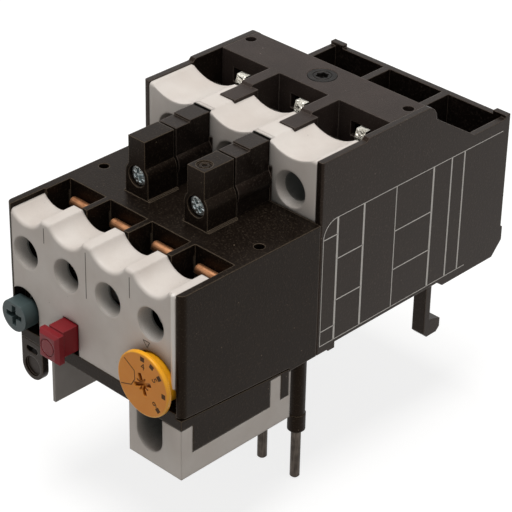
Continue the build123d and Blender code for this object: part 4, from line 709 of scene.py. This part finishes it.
numeral_size = 1.9
for name, text, place, turn in (("dial_number_a", "4", (0.1, 3.7), 0.0),
                                ("dial_number_b", "5", (3.0, 2.3), -0.9),
                                ("dial_number_c", "6", (3.0, -2.7), -2.3)):
    numeral(name, text, place, turn, numeral_size)

# %% [markdown]
# The cover's face has three thin lines between the terminals and a small open triangle over the dial. The
# right side carries the frame and the ruled lines of a plate; nothing is written in it.

# %% Lines on the cover and the ruled plate on the side
cover_bars = [((10.2, 20.3), (10.2, 23.4), 0.16), ((21.15, 13.8), (21.15, 23.2), 0.16),
              ((32.3, 19.0), (32.3, 23.2), 0.16), ((35.6, 12.1), (37.2, 12.15), 0.16),
              ((37.2, 12.15), (36.6, 10.9), 0.16), ((36.6, 10.9), (35.6, 12.1), 0.16)]
piece("cover_lines", [printed_bars(cover_bars, on_cover)], grey_ink, "housing")

plate_top, plate_foot = 24.6, -1.2
arc = np.linspace(np.pi / 2, np.pi, 9)
corner = np.stack((38.4 + 3.5 * np.cos(arc), 21.2 + 3.5 * np.sin(arc)), axis=-1)
border = [((85.0, 24.7), (38.4, 24.7), 0.14)]
border += [(tuple(p), tuple(q), 0.14) for p, q in zip(corner, corner[1:])]
border += [((34.9, 21.2), (34.9, plate_foot), 0.14), ((34.9, plate_foot), (76.0, plate_foot), 0.14)]
rules = [((y, plate_top), (y, plate_foot), width)
         for y, width in ((38.6, 0.45), (45.6, 0.45), (64.8, 0.45), (70.0, 0.35), (73.7, 0.35))]
cross = [((34.9, 21.2), (38.6, 21.2), 0.2), ((38.6, 16.0), (45.6, 16.0), 0.2),
         ((38.6, 7.2), (45.6, 7.2), 0.2), ((54.4, 15.2), (64.8, 15.2), 0.2),
         ((54.4, 6.9), (64.8, 6.9), 0.2), ((34.9, 1.9), (38.6, 1.9), 0.2),
         ((54.4, plate_top), (54.4, plate_foot), 0.2)]
piece("plate_lines", [printed_bars(border + rules + cross, on_side)], pale_ink, "housing")

# %% [markdown]
# Two small mouldings finish the view. The cover's right edge is a raised bead with a round section and
# rounded ends, and the top of the right tower carries the ring that the ejector of the mould leaves.

# %% Bead of the cover and ring on the tower
def upright_bead(centre, z_range, radius, steps=32):
    """Circles along z; at depth d from an end, below one radius r, their radius is sqrt(r^2 - (r - d)^2)."""
    step_in = radius * (1 - np.cos(np.linspace(0, np.pi / 2, 8)))
    along = np.concatenate((z_range[0] + step_in, z_range[1] - step_in[::-1]))
    depth = np.minimum(along - z_range[0], z_range[1] - along)
    size = np.sqrt(np.clip(radius ** 2 - (radius - depth) ** 2, 0, None))
    t = np.linspace(0, 2 * np.pi, steps, endpoint=False)
    points = np.stack((centre[0] + size[:, None] * np.cos(t), centre[1] + size[:, None] * np.sin(t),
                       along[:, None] + 0 * t), axis=-1)
    return points, grid_faces(len(along), steps)


edge_bead = upright_bead((42.95, 0.2), (5.3, 24.6), 0.5)
# the bead wears the paler copy of the cover's polyamide, a painted highlight
piece("cover_edge_bead", [edge_bead], highlit_polyamide, "housing")

ring_profile = ((0.45, 0.05), (0.52, -0.18), (0.62, -0.24), (0.86, -0.24),
                (0.96, -0.18), (1.03, 0.05), (0.45, 0.05))
ejector_ring = turned((tower_x[1], 20.1, 36.05), ring_profile, axis="down", steps=48)
piece("tower_ring", [ejector_ring], deep_polyamide, "housing")

# %% [markdown]
# The room is plain: a pale floor under the pins' tips, a big soft lamp straight above, a weak second one
# from the camera's side, and an even glow from all round. The camera and mirrors see white where they look
# past the object, while the object itself gets the dimmer glow, so pale plastic keeps its tone.

# %% Floor, lamps and surroundings
def white_seen(tree):
    """1 for the rays that show the background as it is: from the camera, from a mirror or through glass."""
    path = add(tree, "ShaderNodeLightPath")
    looks = add(tree, "ShaderNodeMath", {"operation": "MAXIMUM"}, {
        0: path.outputs["Is Camera Ray"], 1: path.outputs["Is Glossy Ray"]})
    return add(tree, "ShaderNodeMath", {"operation": "MAXIMUM"}, {
        0: looks.outputs[0], 1: path.outputs["Is Transmission Ray"]})


floor_z = cad_box[0][2] - 0.0002
floor_half = 3.0
floor_mesh = bpy.data.meshes.new("floor")
floor_corners = [(x * floor_half, y * floor_half, floor_z) for x, y in ((-1, -1), (1, -1), (1, 1), (-1, 1))]
floor_mesh.from_pydata(floor_corners, [], [(0, 1, 2, 3)])
floor = bpy.data.objects.new("floor", floor_mesh)
scene.collection.objects.link(floor)
floor_material, tree, output = empty_material("pale_paper_floor")
seen = white_seen(tree)
matt = add(tree, "ShaderNodeBsdfDiffuse", links={"Color": linear("#9C9B99")})
glow = add(tree, "ShaderNodeEmission", links={"Color": (1, 1, 1, 1), "Strength": 0.8})
bright = add(tree, "ShaderNodeAddShader", links={0: matt.outputs[0], 1: glow.outputs[0]})
mixed = add(tree, "ShaderNodeMixShader", links={
    0: seen.outputs[0], 1: matt.outputs[0], 2: bright.outputs[0]})
tree.links.new(mixed.outputs[0], output.inputs[0])
dress(floor, floor_material)

world = bpy.data.worlds.new("studio")
scene.world = world
world.use_nodes = True
tree = world.node_tree
tree.nodes.clear()
output = tree.nodes.new("ShaderNodeOutputWorld")
seen = white_seen(tree)
glow = add(tree, "ShaderNodeBackground", links={"Color": (1, 1, 1, 1), "Strength": 0.22})
white = add(tree, "ShaderNodeBackground", links={"Color": (1, 1, 1, 1), "Strength": 1.0})
mixed = add(tree, "ShaderNodeMixShader", links={
    0: seen.outputs[0], 1: glow.outputs[0], 2: white.outputs[0]})
tree.links.new(mixed.outputs[0], output.inputs[0])


def lamp(name, place, power, size):
    """Square area lamp that faces the middle of the object."""
    data = bpy.data.lights.new(name, "AREA")
    data.energy, data.size = power, size
    thing = bpy.data.objects.new(name, data)
    towards = np.array(place) / np.linalg.norm(place)
    side = np.cross((0, 0, 1), towards) if abs(towards[2]) < 0.99 else np.array((1.0, 0, 0))
    side = side / np.linalg.norm(side)
    over = np.cross(towards, side)
    middle = at((width_mm / 2, 45, 15))
    thing.matrix_world = Matrix([[side[i], over[i], towards[i], middle[i] + place[i]] for i in range(3)]
                                + [[0, 0, 0, 1]])
    scene.collection.objects.link(thing)
    return thing


lamp("lamp_above", (0.02, -0.1, 0.99), 8.8, 0.6)
lamp("lamp_front", (0.62, -0.62, 0.35), 0.7, 0.4)
scene.view_settings.view_transform = "Standard"
print("floor height:", round(floor_z * 1000, 2), "mm")
